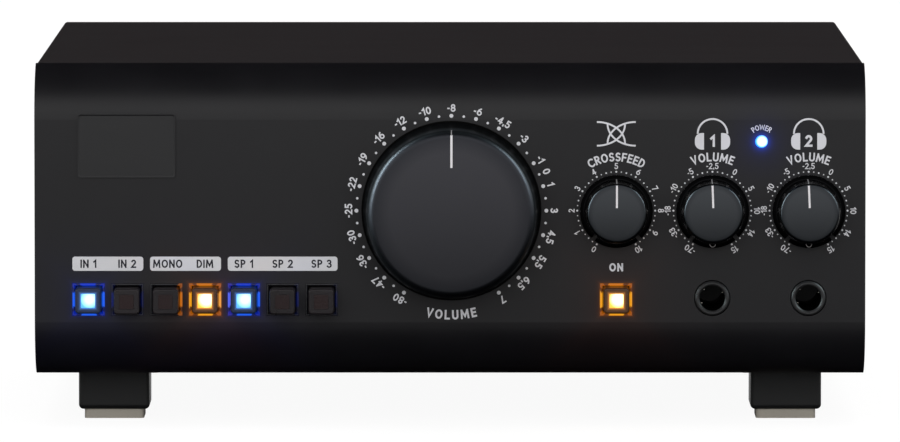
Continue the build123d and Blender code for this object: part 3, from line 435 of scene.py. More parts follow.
def cap_finish(name, spot=None, light=None):
    """Tinted cap; one with a light has a painted glow round its window at the spot."""
    made = Finish(name, (0.0098, 0.0078, 0.0092), 0.30, specular=0.38)
    made.grain(2400.0, 0.030, coarseness=0.4, mottle=0.25, spread=0.06)
    if light:
        # Painted glow round the window, given off by the cap itself.
        reach = made.off_square(spot)
        near = maths(made.tree, "POWER", ranged(made.tree, reach, window_half, 2.5, 0.8, 0.0), 2.0)
        wide = ranged(made.tree, reach, window_half, 4.0, 0.07, 0.015)
        made.glow(blend(made.tree, maths(made.tree, "ADD", near, wide), (0.0, 0.0, 0.0), light), 1.0)
    return made.done()


def collar_finish():
    """Clear moulding that carries light to its rim, in the colours painted on its mesh."""
    made = Finish("clear_moulding", (0.012, 0.012, 0.015), 0.14)
    made.grain(900.0, 0.01, mottle=0.2, spread=0.04)
    made.glow(add(made.tree, "Attribute", attribute_name="light").outputs["Color"], 1.0)
    return made.done()


def window_finish(name, spot, core, rim, reach=(0.9, 2.4), lean=0.45, strength=2.6):
    """Lit window: nearly white in the middle and coloured towards its lower left edges."""
    made = Finish(name, (0.05, 0.05, 0.05), 0.25)
    made.grain(1500.0, 0.004, mottle=0.1, spread=0.04)
    edge = ranged(made.tree, made.off_axis(spot + Vector((lean, 0, lean))), *reach)
    made.glow(blend(made.tree, edge, core, rim), strength)
    return made.done()


def print_finish(name, colour):
    """Screen-printed ink, slightly uneven."""
    made = Finish(name, colour, 0.55, specular=0.3)
    made.grain(5200.0, 0.003, mottle=0.06, spread=0.05)
    return made.done()


def brushed_finish(name, colour):
    """Satin lacquer over metal brushed along X."""
    made = Finish(name, colour, 0.42)
    stretched = add(made.tree, "Mapping", {"Vector": made.place, "Scale": (60.0, 4000.0, 4000.0)})
    lines = noise(made.tree, stretched.outputs["Vector"], 1.0, 3.0)
    made.bump(lines, 0.003)
    made.colour = blend(made.tree, lines, tuple(part * 0.8 for part in colour), colour)
    made.roughness = ranged(made.tree, lines, 0.3, 0.7, 0.37, 0.47)
    return made.done()


def winding_finish():
    """Tape over a wound core, in narrow overlapping turns about the core's axis."""
    made = Finish("wound_tape", (0.05, 0.035, 0.012), 0.45)
    core = middle("mains_transformer") * MM
    centred = add(made.tree, "Mapping", {"Vector": made.place, "Location": (-core.x, -core.y, 0.0)})
    turns = add(made.tree, "TexGradient", {"Vector": centred.outputs["Vector"]}, gradient_type="RADIAL")
    overlap = maths(made.tree, "FRACT", product(made.tree, turns.outputs["Fac"], 64.0))
    made.bump(overlap, 0.15)
    made.colour = blend(made.tree, overlap, (0.045, 0.030, 0.010), (0.075, 0.052, 0.018))
    made.handled(0.5)
    return made.done()


def board_finish():
    """Green solder mask with copper tracks showing through."""
    made = Finish("solder_mask", (0.012, 0.075, 0.030), 0.30, coat=0.4)
    tracks = add(made.tree, "TexBrick", {"Vector": made.place, "Scale": 150.0, "Mortar Size": 0.03})
    made.grain(1500.0, 0.01, mottle=0.12)
    made.layer(product(made.tree, tracks.outputs["Fac"], 0.6), (0.03, 0.14, 0.05), 0.28)
    return made.done()


def ribbon_finish():
    """Grey insulation in parallel cores, one edge marked red."""
    made = Finish("ribbon_insulation", (0.30, 0.30, 0.31), 0.45, specular=0.4)
    across = made.along("X")
    made.bump(maths(made.tree, "SINE", product(made.tree, across, 2 * pi / (1.27 * MM))), 0.1)
    side = box("ribbon_cable")[0].x
    marked = ranged(made.tree, across, (side + 1.2) * MM, (side + 1.3) * MM, 1.0, 0.0)
    made.layer(marked, (0.45, 0.02, 0.02), 0.45)
    return made.done()


def shown_rays(tree):
    """1 for the rays that show a thing, and 0 for those that only carry its light."""
    path = add(tree, "LightPath").outputs
    seen = maths(tree, "MAXIMUM", path["Is Camera Ray"], path["Is Glossy Ray"])
    return maths(tree, "MAXIMUM", seen, path["Is Transmission Ray"])


def cleared(made, output):
    """Empties a material or a world, and gives its tree and the socket of its surface."""
    made.use_nodes = True
    made.node_tree.nodes.clear()
    return made.node_tree, add(made.node_tree, output).inputs["Surface"]


def floor_finish():
    """Pale floor that is white behind the object and plain grey to the light that bounces off it."""
    material = bpy.data.materials.new("pale_floor")
    tree, surface = cleared(material, "OutputMaterial")
    grey = add(tree, "BsdfDiffuse", {"Color": (0.35, 0.35, 0.35)})
    shaded = add(tree, "BsdfDiffuse", {"Color": (0.09, 0.09, 0.09)})
    white = add(tree, "Emission", {"Color": (1.0, 1.0, 1.0), "Strength": 0.94})
    pale = add(tree, "AddShader", {0: shaded.outputs[0], 1: white.outputs[0]})
    shown = add(tree, "MixShader", {0: shown_rays(tree), 1: grey.outputs[0], 2: pale.outputs[0]})
    clear = add(tree, "BsdfTransparent")
    under = add(tree, "NewGeometry").outputs["Backfacing"]
    both = add(tree, "MixShader", {0: under, 1: shown.outputs[0], 2: clear.outputs[0]})
    feed(tree, surface, both.outputs[0])
    return material


def flag_finish():
    """Black cloth with a little sheen of its own, for the cards that keep reflections dark."""
    material = bpy.data.materials.new("flag_cloth")
    tree, surface = cleared(material, "OutputMaterial")
    feed(tree, surface, add(tree, "Emission", {"Color": (0.005, 0.004, 0.005)}).outputs[0])
    return material


print_white = print_finish("white_ink", (0.62, 0.62, 0.65))
bar_grey = print_finish("pale_ink", (0.59, 0.59, 0.61))
bar_ink = print_finish("dark_ink", (0.010, 0.010, 0.016))
# Greyer copy of the pointer paint for the lines' tails over the edges: painted shade.
shaded_tail_paint = print_finish("shaded_tail_paint", (0.22, 0.22, 0.225))
pointer_paint = print_finish("pointer_paint", (0.72, 0.70, 0.72))
nickel = metal_finish("nickel", (0.62, 0.58, 0.52), 0.22)
gilt = metal_finish("gilt_contact", (0.75, 0.55, 0.22), 0.25)
# Grey metal for the painted glints on the knobs' skirts.
glint_metal = metal_finish("screw_glint_metal", (0.20, 0.19, 0.19), 0.3)
# Near-black, low-gloss finish for painted shade: the sleeves in the sockets and the ring behind the volume
# knob.
painted_shade_black = plastic_finish("painted_shade_black", (0.0012, 0.0012, 0.0012), 0.6, specular=0.05)
dark_window = plastic_finish("dark_window", (0.0125, 0.0052, 0.0056), 0.30, scale=2400.0, depth=0.030,
                             specular=0.36)

# ---------------------------------------------------------------- mesh building


def placed(name, data):
    made = bpy.data.objects.new(name, data)
    bpy.context.scene.collection.objects.link(made)
    return made


def finished(name, shape, finish):
    """Makes an object of a shape in millimetres."""
    bmesh.ops.scale(shape, vec=(MM, MM, MM), verts=shape.verts)
    mesh = bpy.data.meshes.new(name)
    shape.to_mesh(mesh)
    shape.free()
    mesh.materials.append(finish)
    return placed(name, mesh)


def piece(name, shape, finish, body, replaces=(), smooth=35.0):
    """Makes an object that rides on a body; edges flatter than that angle look smooth."""
    bmesh.ops.recalc_face_normals(shape, faces=shape.faces)
    made = finished(name, shape, finish)
    made.data.polygons.foreach_set("use_smooth", [True] * len(made.data.polygons))
    made.data.set_sharp_from_angle(angle=radians(smooth))
    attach(made, body)
    if replaces:
        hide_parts(*replaces)
    return made


def rod(shape, x, z, radius, y0, y1, segments):
    """A round bar along Y."""
    bmesh.ops.create_cone(shape, cap_ends=True, segments=segments, radius1=radius, radius2=radius,
                          depth=y1 - y0, matrix=Matrix.Translation((x, (y0 + y1) / 2, z)) @ QUARTER)


def tile(shape, x, z, width, height, y0, y1, corner=0.0, segments=5, keep=None):
    """A block facing forward, with the corners of its outline rounded where keep allows it."""
    place = Matrix.Translation((x, (y0 + y1) / 2, z)) @ Matrix.Diagonal((width, y1 - y0, height, 1.0))
    verts = bmesh.ops.create_cube(shape, size=1.0, matrix=place)["verts"]
    edges = {edge for vert in verts for edge in vert.link_edges}
    upright = [edge for edge in edges
               if abs(edge.verts[0].co.y - edge.verts[1].co.y) > (y1 - y0) / 2
               and (keep is None or keep(edge.verts[0].co))]
    if corner:
        soften(shape, upright, corner, segments)


def soften(shape, edges, width, segments):
    bmesh.ops.bevel(shape, geom=edges, offset=width, offset_type="OFFSET", segments=segments,
                    profile=0.5, affect="EDGES", material=-1)


def front_face_of(shape):
    return min(shape.faces, key=lambda face: face.calc_center_median().y)


def turned(shape, x, z, outline, start=0.0, sweep=360.0, steps=32):
    """A closed outline of (distance off axis, y) turned about a line along Y through (x, z).

    Angles are clockwise from the top.
    """
    lean = radians(start)
    verts = [shape.verts.new((x + r * sin(lean), y, z + r * cos(lean))) for r, y in outline]
    edges = [shape.edges.new(pair) for pair in zip(verts, verts[1:] + verts[:1])]
    ends = [] if sweep == 360.0 else [shape.faces.new(verts)]
    bmesh.ops.spin(shape, geom=verts + edges + ends, cent=(x, 0, z), axis=(0, 1, 0), dvec=(0, 0, 0),
                   angle=radians(sweep), steps=steps, use_duplicate=False, use_merge=sweep == 360.0)


def arc_band(shape, x, z, inner, outer, start, sweep, y0, y1, steps=24):
    """Part of a flat ring about (x, z)."""
    turned(shape, x, z, [(inner, y0), (outer, y0), (outer, y1), (inner, y1)], start, sweep, steps)


def thicken(shape, way):
    """Makes flat faces solid, as thick as that vector."""
    made = bmesh.ops.extrude_face_region(shape, geom=list(shape.faces), use_keep_orig=True)["geom"]
    verts = [item for item in made if isinstance(item, bmesh.types.BMVert)]
    bmesh.ops.translate(shape, verts=verts, vec=way)
    bmesh.ops.recalc_face_normals(shape, faces=shape.faces)


def merge(shape, part):
    """Puts one shape into another."""
    mesh = bpy.data.meshes.new("part")
    part.to_mesh(mesh)
    part.free()
    shape.from_mesh(mesh)
    bpy.data.meshes.remove(mesh)


def closes(line):
    """Whether a line ends where it starts."""
    return hypot(line[0][0] - line[-1][0], line[0][1] - line[-1][1]) < 1e-6


def pen_stroke(shape, points, pen):
    """A flat line of even width through points in the XZ plane, mitred where it turns."""
    closed = closes(points)
    spots = [Vector((x, 0, z)) for x, z in points]
    ways = [(b - a).normalized() for a, b in zip(spots, spots[1:])]
    before = [ways[-1] if closed else ways[0]] + ways
    after = ways + [ways[0] if closed else ways[-1]]
    pairs = []
    for spot, way_in, way_out in zip(spots, before, after):
        side_in, side_out = (Vector((-way.z, 0, way.x)) for way in (way_in, way_out))
        mitre = (side_in + side_out).normalized()
        reach = mitre * (pen / 2 / max(0.45, mitre.dot(side_in)))
        pairs.append((spot - reach, spot + reach))
    edge = shape.edges.new([shape.verts.new(corner) for corner in pairs[0]])
    for last, pair in zip(pairs, pairs[1:]):
        made = bmesh.ops.extrude_edge_only(shape, edges=[edge])["geom"]
        edge = next(item for item in made if isinstance(item, bmesh.types.BMEdge)
                    and all(vert in made for vert in item.verts))
        for vert in edge.verts:
            nearer = (vert.co - last[0]).length > (vert.co - last[1]).length
            vert.co = pair[nearer]


def bow(x, z, across, up, start, end, step=20):
    """Points along part of an ellipse, angles anticlockwise from the right."""
    steps = max(3, round(abs(end - start) / step))
    angles = [radians(start + (end - start) * i / steps) for i in range(steps + 1)]
    return [(x + across * cos(angle), z + up * sin(angle)) for angle in angles]


# The lines that a pen draws for each letter, in a cell one unit high.
six = [bow(0.27, 0.30, 0.27, 0.30, 180, -180), bow(0.60, 0.30, 0.60, 0.70, 180, 108)]
upright = [(0.0, 0.0), (0.0, 1.0)]
pen_lines = {
    "0": [bow(0.27, 0.5, 0.27, 0.5, 90, 450)],
    "1": [[(0.0, 0.76), (0.24, 1.0), (0.24, 0.0)]],
    "2": [bow(0.25, 0.73, 0.23, 0.27, 155, -40) + [(0.0, 0.0), (0.50, 0.0)]],
    "3": [bow(0.21, 0.76, 0.22, 0.24, 150, -90), bow(0.21, 0.26, 0.26, 0.26, 90, -150)],
    "4": [[(0.38, 0.0), (0.38, 1.0)], [(0.34, 0.92), (0.0, 0.28), (0.54, 0.28)]],
    "5": [[(0.46, 1.0), (0.08, 1.0), (0.06, 0.58)] + bow(0.22, 0.30, 0.27, 0.30, 110, -150)],
    "6": six,
    "7": [[(0.0, 1.0), (0.50, 1.0), (0.15, 0.0)]],
    "8": [bow(0.26, 0.76, 0.22, 0.24, 90, 450), bow(0.26, 0.26, 0.26, 0.26, 90, 450)],
    "9": [[(0.54 - x, 1.0 - z) for x, z in line] for line in six],
    "-": [[(0.0, 0.42), (0.14, 0.42)]],
    ".": [[(0.0, -0.07), (0.0, 0.10)]],
    "C": [bow(0.38, 0.5, 0.38, 0.5, 52, 308)],
    "D": [upright + bow(0.16, 0.5, 0.38, 0.5, 90, -90) + [(0.0, 0.0)]],
    "E": [[(0.42, 1.0), (0.0, 1.0), (0.0, 0.0), (0.42, 0.0)], [(0.0, 0.52), (0.38, 0.52)]],
    "F": [[(0.42, 1.0), (0.0, 1.0), (0.0, 0.0)], [(0.0, 0.50), (0.37, 0.50)]],
    "I": [upright],
    "L": [[(0.0, 1.0), (0.0, 0.0), (0.42, 0.0)]],
    "M": [[(0.0, 0.0), (0.06, 1.0)], [(0.74, 1.0), (0.80, 0.0)],
          [(0.07, 0.97), (0.40, 0.22), (0.73, 0.97)]],
    "N": [upright, [(0.56, 0.0), (0.56, 1.0)], [(0.02, 0.95), (0.54, 0.05)]],
    "O": [bow(0.34, 0.5, 0.34, 0.5, 90, 450)],
    "P": [upright, [(0.0, 1.0)] + bow(0.20, 0.73, 0.26, 0.27, 90, -90) + [(0.0, 0.46)]],
    "R": [upright, [(0.0, 1.0)] + bow(0.20, 0.74, 0.25, 0.26, 90, -90) + [(0.0, 0.48)],
          [(0.22, 0.48), (0.48, 0.0)]],
    "S": [bow(0.24, 0.75, 0.22, 0.25, 40, 270), bow(0.24, 0.25, 0.24, 0.25, 90, -140)],
    "U": [[(0.0, 1.0)] + bow(0.27, 0.28, 0.27, 0.28, 180, 360) + [(0.54, 1.0)]],
    "V": [[(0.0, 1.0), (0.29, 0.0), (0.58, 1.0)]],
    "W": [[(0.0, 1.0), (0.22, 0.0), (0.48, 0.92), (0.74, 0.0), (0.96, 1.0)]],
    " ": [],
}
space_width = 0.26
letter_slimness = 0.88
stroke_step = 0.15
drawn_letters = {}


def letter_width(letter, weight):
    reaches = [x for line in pen_lines[letter] for x, z in line]
    return max(reaches) * letter_slimness + weight if reaches else space_width


def capped(line, weight):
    """An open line made longer by half the pen at both ends, which squares them off."""
    if closes(line):
        return line
    ends = []
    for end, inner in ((line[0], line[1]), (line[-1], line[-2])):
        away = Vector((end[0] - inner[0], end[1] - inner[1])).normalized() * weight / 2
        ends.append((end[0] + away.x / letter_slimness, end[1] + away.y / (1 - weight)))
    return [ends[0], *line[1:-1], ends[1]]


def letter_mesh(letter, weight):
    """One letter, a unit high and deep, drawn by a pen of that weight, each stroke a little lower."""
    if (letter, weight) not in drawn_letters:
        shape = bmesh.new()
        for i, line in enumerate(pen_lines[letter]):
            stroke = bmesh.new()
            pen_stroke(stroke, [(x * letter_slimness + weight / 2, weight / 2 + z * (1 - weight))
                                for x, z in capped(line, weight)], weight)
            bmesh.ops.remove_doubles(stroke, verts=stroke.verts, dist=1e-5)
            thicken(stroke, (0, -1.0 + i * stroke_step, 0))
            merge(shape, stroke)
        mesh = bpy.data.meshes.new("letter")
        shape.to_mesh(mesh)
        shape.free()
        drawn_letters[letter, weight] = mesh
    return drawn_letters[letter, weight]


front_face = Matrix.Translation((0, panel_y, 0))
bar_face = Matrix.Translation((0, panel_y - bar_thickness, 0))
rear_face = Matrix.Translation((0, rear_y, 0)) @ Matrix.Rotation(pi, 4, "Z")


def letters(shape, text, height, x, z, turn=0.0, weight=0.18, gap=0.16, face=front_face):
    """A word middled on (x, z) and turned clockwise, standing just proud of a panel's face."""
    widths = [letter_width(letter, weight) for letter in text]
    start = -(sum(widths) + gap * (len(text) - 1)) / 2
    for letter, width in zip(text, widths):
        place = (face @ Matrix.Translation((x, 0, z)) @ Matrix.Rotation(radians(turn), 4, "Y")
                 @ Matrix.Diagonal((height, print_thickness, height, 1.0))
                 @ Matrix.Translation((start, 0, -0.5)))
        mesh = letter_mesh(letter, weight).copy()
        mesh.transform(place)
        shape.from_mesh(mesh)
        bpy.data.meshes.remove(mesh)
        start += width + gap


def arc_title(shape, text, height, axis, radius, weight=0.195, gap=0.2, below=False):
    """Capitals along an arc, their feet towards the centre, or away from it below the centre."""
    widths = [letter_width(letter, weight) * height for letter in text]
    space = gap * height
    side = -1 if below else 1
    start = -(sum(widths) + space * (len(text) - 1)) / 2
    for letter, width in zip(text, widths):
        angle = degrees((start + width / 2) / radius) * side
        spot = around(axis, radius, angle + (180 if below else 0))
        letters(shape, letter, height, *spot, angle, weight)
        start += width + space


def dot(shape, axis, radius, angle, diameter):
    rod(shape, *around(axis, radius, angle), diameter / 2, panel_y - print_thickness, panel_y, segments=14)


# ---------------------------------------------------------------- print on the front panel

scale_sweep = 150.0          # degrees from the top to either end of a scale
number_gap = 0.12            # between the figures of a number, of their height
word_height = 2.1            # of the words on the label bars, at the lowest button and on the rear

volume_levels = ("-80", "-47", "-36", "-30", "-25", "-22", "-19", "-16", "-12", "-10", "-8", "-6", "-4.5",
                 "-3", "-1", "1", "3", "4.5", "5.5", "6.5", "7")
volume_step = 15.0
volume_dot_radius = 24.0
volume_dot, volume_half_dot = 1.0, 0.65  # diameters, at the numbers and between them
volume_number_radius = 26.0
volume_number_height = 1.95
volume_title_radius = 26.4
volume_title_height = 2.4
zero_angle = 67.5

small_step = 30.0
small_dot_radius = 9.85
small_dots = (0.5, 0.34, 0.42, 0.34)     # diameters, from one number towards the next
small_number_radius = 11.3
small_number_height = 1.55
small_title_radius = 13.6
small_title_height = 2.25
crossfeed_levels = [str(i) for i in range(11)]
phones_levels = ("-70", "-33", "-18", "-10", "-5", "-2.5", "0", "5", "10", "14", "15")
power_title_radius = 3.65
power_title_height = 1.35
on_z = panel_low.z + 27.7


def volume_scale(shape):
    numbers = [(level, i * volume_step - scale_sweep) for i, level in enumerate(volume_levels)]
    for level, angle in numbers:
        dot(shape, volume_axis, volume_dot_radius, angle, volume_dot)
        if level != volume_levels[0]:
            dot(shape, volume_axis, volume_dot_radius, angle - volume_step / 2, volume_half_dot)
    for level, angle in numbers + [("0", zero_angle)]:
        letters(shape, level, volume_number_height, *around(volume_axis, volume_number_radius, angle),
                angle, weight=0.185, gap=number_gap)
    arc_title(shape, "VOLUME", volume_title_height, volume_axis, volume_title_radius, gap=0.22,
              below=True)


def small_scale(shape, axis, levels, title, title_gap):
    for i in range(4 * len(levels) - 3):
        dot(shape, axis, small_dot_radius, i * small_step / 4 - scale_sweep, small_dots[i % 4])
    for i, level in enumerate(levels):
        angle = i * small_step - scale_sweep
        letters(shape, level, small_number_height, *around(axis, small_number_radius, angle), angle,
                weight=0.155, gap=number_gap)
    arc_title(shape, title, small_title_height, axis, small_title_radius, weight=0.18, gap=title_gap)


icon_z = panel_low.z + 61.5
icon_number_height = 3.0
band_radii = (3.52, 3.98)
cup_reach = 3.3              # middle of an ear cup from the middle of the pictogram
cup_drop = 1.9
cup_width, cup_height = 2.3, 4.2
cup_corner = 1.7
weave_x, weave_z = 4.9, 2.4  # centres of the quarter ellipses, off the middle of the pictogram
weave_across, weave_up = 7.1, 5.4
weave_pen = 0.44


def headphones(shape, x, number):
    """Plain pictogram: a band over two ear cups, with the socket's number between them."""
    y0, y1 = panel_y - print_thickness, panel_y
    arc_band(shape, x, icon_z, *band_radii, -90, 180, y0, y1)
    for side in (-1, 1):
        tile(shape, x + side * cup_reach, icon_z - cup_drop, cup_width, cup_height, y0, y1,
             corner=cup_corner, keep=lambda co, side=side: (co.x - x) * side > cup_reach)
    letters(shape, number, icon_number_height, x, icon_z - 1.8, weight=0.2)


def crossed_lines(shape, x):
    """Four quarter ellipses woven across each other, as two channels that are mixed."""
    for side in (-1, 1):
        for lift in (-1, 1):
            flat = bmesh.new()
            line = bow(x - side * weave_x, icon_z - lift * weave_z, side * weave_across, lift * weave_up,
                       0, 90, step=6)
            pen_stroke(flat, line, weave_pen)
            thicken(flat, (0, -print_thickness * (1 - stroke_step * (side + lift + 2) / 2), 0))
            bmesh.ops.translate(flat, verts=flat.verts, vec=(0, panel_y, 0))
            merge(shape, flat)


def panel_print():
    shape = bmesh.new()
    volume_scale(shape)
    small_scale(shape, crossfeed_axis, crossfeed_levels, "CROSSFEED", 0.125)
    for number, axis in zip("12", phones_axes.values()):
        small_scale(shape, axis, phones_levels, "VOLUME", 0.16)
        headphones(shape, axis.x, number)
    crossed_lines(shape, crossfeed_axis.x)
    arc_title(shape, "POWER", power_title_height, lamp_axis, power_title_radius, weight=0.155, gap=0.10)
    letters(shape, "ON", word_height, crossfeed_axis.x, on_z, weight=0.21)
    piece("panel_lettering", shape, print_white, "case")


bar_z = panel_low.z + 28.6
bar_height = 3.6
bar_corner = 0.7
bar_overhang = 4.05          # past the middle of the first and last button
bar_shifts = {"mono": 0.4}   # keeps the long word clear of its bar's end
bars = ((("IN 1", "input_1"), ("IN 2", "input_2")), (("MONO", "mono"), ("DIM", "dim")),
        (("SP 1", "speaker_1"), ("SP 2", "speaker_2"), ("SP 3", "speaker_3")))


def label_bars():
    bar_shape = bmesh.new()
    ink_shape = bmesh.new()
    for group in bars:
        first = button_spots[group[0][1]].x - bar_overhang
        last = button_spots[group[-1][1]].x + bar_overhang
        tile(bar_shape, (first + last) / 2, bar_z, last - first, bar_height, panel_y - bar_thickness,
             panel_y, corner=bar_corner)
        for text, name in group:
            letters(ink_shape, text, word_height, button_spots[name].x + bar_shifts.get(name, 0.0), bar_z,
                    weight=0.18, gap=0.14, face=bar_face)
    piece("label_bars", bar_shape, bar_grey, "case")
    piece("bar_lettering", ink_shape, bar_ink, "case")


# ---------------------------------------------------------------- badge, pointers, painted shade ring

rim_inset = 0.15             # from the badge's edge
rim_rise = 0.12              # above its face
rim_width = 0.32
rim_corner = 0.7


def badge_rim():
    """Fine raised rim round the bare plate, in a darker copy of the plate's finish: painted shade."""
    shape = bmesh.new()
    centre = (badge_low + badge_high) / 2
    size = badge_high - badge_low
    tile(shape, centre.x, centre.z, size.x - 2 * rim_inset, size.z - 2 * rim_inset,
         badge_low.y - rim_rise, badge_low.y + 0.02, corner=rim_corner)
    front = front_face_of(shape)
    bmesh.ops.inset_region(shape, faces=[front], thickness=rim_width)
    bmesh.ops.translate(shape, verts=front.verts, vec=(0, rim_rise - 0.005, 0))
    # The rim's darker finish is painted shade on its bevels.
    piece("badge_rim", shape, brushed_finish("badge_edge_shaded", (0.0085, 0.0085, 0.0095)), "case",
          smooth=10.0)


groove_depth = 0.18          # of the lines in the knobs' faces
volume_line = (11.8, 20.0)   # ends of a line, off the axis
volume_line_width = 0.56
small_line = (1.4, 7.05)
small_line_width = 0.5
volume_edge = Vector((19.36, 1.8))    # middle of the edge's round, off the axis and behind the face
tail_turns = (22, 37, 52, 67, 82)
tail_radii = (1.86, 1.6)
tail_width = 0.26
small_tail = ((7.59, 0.45), (8.20, 7.0), (8.00, 7.0), (7.39, 0.45))
small_leans = {"crossfeed": 0.0, "phones_1": -2.0, "phones_2": -2.5}


def line_side(ends, face):
    """Side of a line that lies in a groove, a hair below the face."""
    inner, outer = ends
    return [(inner, face + 0.02), (outer, face + 0.02), (outer, face + groove_depth + 0.01),
            (inner, face + groove_depth + 0.01)]


def pointer(name, axis, lean, width, outline, paint, body):
    """Line laid on a knob; the outline of its side is (distance off axis, y)."""
    shape = bmesh.new()
    shape.faces.new([shape.verts.new((-width / 2, y, r)) for r, y in outline])
    thicken(shape, (width, 0, 0))
    place = Matrix.Translation((axis.x, 0, axis.z)) @ Matrix.Rotation(radians(lean), 4, "Y")
    bmesh.ops.transform(shape, matrix=place, verts=shape.verts)
    piece(name, shape, paint, body)


def pointers():
    """White lines on the faces, which run on thin over the edges in a greyer paint: painted shade on the
    rounded edge.
    """
    face = box("volume_knob")[0].y
    pointer("volume_pointer", volume_axis, 0.0, volume_line_width, line_side(volume_line, face),
            pointer_paint, "volume_control")
    edge = [(volume_edge.x + radius * sin(radians(turn)), face + volume_edge.y - radius * cos(radians(turn)))
            for radius, turns in zip(tail_radii, (tail_turns, tail_turns[::-1])) for turn in turns]
    pointer("volume_pointer_tail", volume_axis, 0.0, tail_width, edge, shaded_tail_paint, "volume_control")
    for name, lean in small_leans.items():
        axis = middle(name + "_shaft")
        face = box(name + "_knob")[0].y
        body = name + "_control"
        pointer(name + "_pointer", axis, lean, small_line_width, line_side(small_line, face),
                pointer_paint, body)
        pointer(name + "_pointer_tail", axis, lean, tail_width, [(r, face + y) for r, y in small_tail],
                shaded_tail_paint, body)


# A thin black ring standing for the knob's contact shadow: painted shade.
shade_ring_radii = (18.0, 22.75)
shade_ring_thickness = 0.3


def knob_washer():
    """Black ring on the panel behind the volume knob: painted shade where the knob meets the panel."""
    shape = bmesh.new()
    arc_band(shape, volume_axis.x, volume_axis.z, *shade_ring_radii, 0, 360, panel_y - shade_ring_thickness,
             panel_y, steps=72)
    piece("volume_shade_ring", shape, painted_shade_black, "case")


# ---------------------------------------------------------------- buttons

collar_wall = 0.6
collar_steps = 24
rim_chamfer = 0.35


def collar(spot):
    """Square frame whose rim slopes in towards the cap."""
    shape = bmesh.new()
    inner = collar_half - collar_wall
    rings = ((collar_half, panel_y), (inner + collar_wall / 2, panel_y), (inner, panel_y + rim_chamfer),
             (inner, collar_high.y), (collar_half, collar_high.y))
    loops = []
    for half, y in rings:
        place = Matrix.Translation((spot.x, y, spot.z)) @ Matrix.Rotation(radians(45), 4, "Y") @ QUARTER
        made = bmesh.ops.create_circle(shape, segments=4, radius=half * 2 ** 0.5, matrix=place)["verts"]
        sides = list({edge for vert in made for edge in vert.link_edges})
        cuts = bmesh.ops.subdivide_edges(shape, edges=sides, cuts=collar_steps - 1)["geom_split"]
        loops.append([item for item in cuts if isinstance(item, bmesh.types.BMEdge)])
    for near, far in zip(loops, loops[1:] + loops[:1]):
        bmesh.ops.bridge_loops(shape, edges=near + far)
    return shape


# Light that the buttons' lamps send to their collars: dim, half and full.
collar_blues = ((0.0, 0.004, 0.05), (0.0, 0.018, 0.46), (0.012, 0.14, 1.0))
collar_ambers = ((0.10, 0.022, 0.0), (0.50, 0.12, 0.0), (1.0, 0.42, 0.01))
# What a collar gets from its neighbour's lamp on the left, -1, or on the right, 1.
leaks = {("mono", 1): (collar_ambers, 0.60), ("speaker_1", -1): (collar_ambers, 0.09),
         ("dim", 1): (collar_blues, 0.08), ("input_2", -1): (collar_blues, 0.12),
         ("input_2", 1): (collar_blues, 0.07), ("speaker_2", 1): (collar_blues, 0.09),
         ("speaker_3", 1): (collar_blues, 0.05)}
leak_width = 1.0
light_depth = 5.0            # how far a collar carries its light behind the panel's face


def collar_level(dx, dz):
    """Brightness of the rim at a place: full at the middle of each side and less at the corners."""
    share = min(abs(dx), abs(dz)) / max(abs(dx), abs(dz))
    if share < 0.5:
        return 0.55 if dz > abs(dx) else 0.85
    return 0.28 if share > 0.8 else 0.10


def lit_tone(tones, level):
    colour = Vector(tones[0]).lerp(Vector(tones[1]), min(1.0, level * 2)) * min(1.0, level * 6)
    return colour.lerp(Vector(tones[2]), max(0.0, level * 2 - 1))


def rim_light(name, dx, dz):
    """Colour of the light in a button's collar, with what leaks in from its neighbours."""
    level = collar_level(dx, dz)
    colour = Vector((0.0, 0.0, 0.0))
    if name in lit_buttons:
        colour = lit_tone(collar_blues if name in blue_buttons else collar_ambers, level)
    tones, share = leaks.get((name, 1 if dx > 0 else -1), (collar_blues, 0.0))
    if abs(dx) > collar_half - leak_width and share:
        colour = colour + lit_tone(tones, level * share)
    return colour


def collars():
    shape = bmesh.new()
    for spot in button_spots.values():
        merge(shape, collar(spot))
    made = piece("collar_set", shape, collar_finish(), "case", replaces=("button_collars",))
    colours = []
    for vert in made.data.vertices:
        place = vert.co / MM
        name = min(button_names, key=lambda button: abs(button_spots[button].x - place.x))
        fade = max(0.0, 1 - (place.y - panel_y) / light_depth)
        colour = rim_light(name, place.x - button_spots[name].x, place.z - button_spots[name].z) * fade
        colours += [*colour, 1.0]
    painted = made.data.color_attributes.new("light", "FLOAT_COLOR", "POINT")
    painted.data.foreach_set("color", colours)


window_depth = 0.24
window_corner = 0.25
lit_proud, lit_edge = 0.03, 0.08         # how far a window stands out, and its rounded edge
dark_proud, dark_edge = 0.008, 0.02


def windows():
    """The square windows set in the caps."""
    for name, spot in button_spots.items():
        face = button_faces[name]
        proud, edge = (lit_proud, lit_edge) if name in lit_buttons else (dark_proud, dark_edge)
        shape = bmesh.new()
        tile(shape, spot.x, spot.z, 2 * window_half, 2 * window_half, face - proud, face + window_depth,
             corner=window_corner)
        soften(shape, list(front_face_of(shape).edges), edge, 2)
        if name in blue_buttons:
            finish = window_finish(name + "_light", spot, (0.42, 0.82, 1.0), (0.04, 0.24, 0.80), strength=2.2)
        elif name in amber_buttons:
            finish = window_finish(name + "_light", spot, (1.0, 0.80, 0.42), (0.75, 0.24, 0.012),
                                   reach=(1.25, 2.3))
        else:
            finish = dark_window
        piece(name + "_window", shape, finish, name + "_push", smooth=15.0)


# ---------------------------------------------------------------- sockets

jack_front = box("phones_1_jack")[0].y
jack_z = middle("phones_1_jack").z
jack_bore_radius = 3.25
# A thin black sleeve inside each bore: painted shade that keeps the bore dark.
shade_sleeve_wall = 0.05
shade_sleeve_ends = (0.5, 24.0)    # its ends, behind the jack's front
spring_circle = 2.98
spring_angles = (-45, -115, 62)
spring_depth = 1.1
spring_tip_radius = 0.24


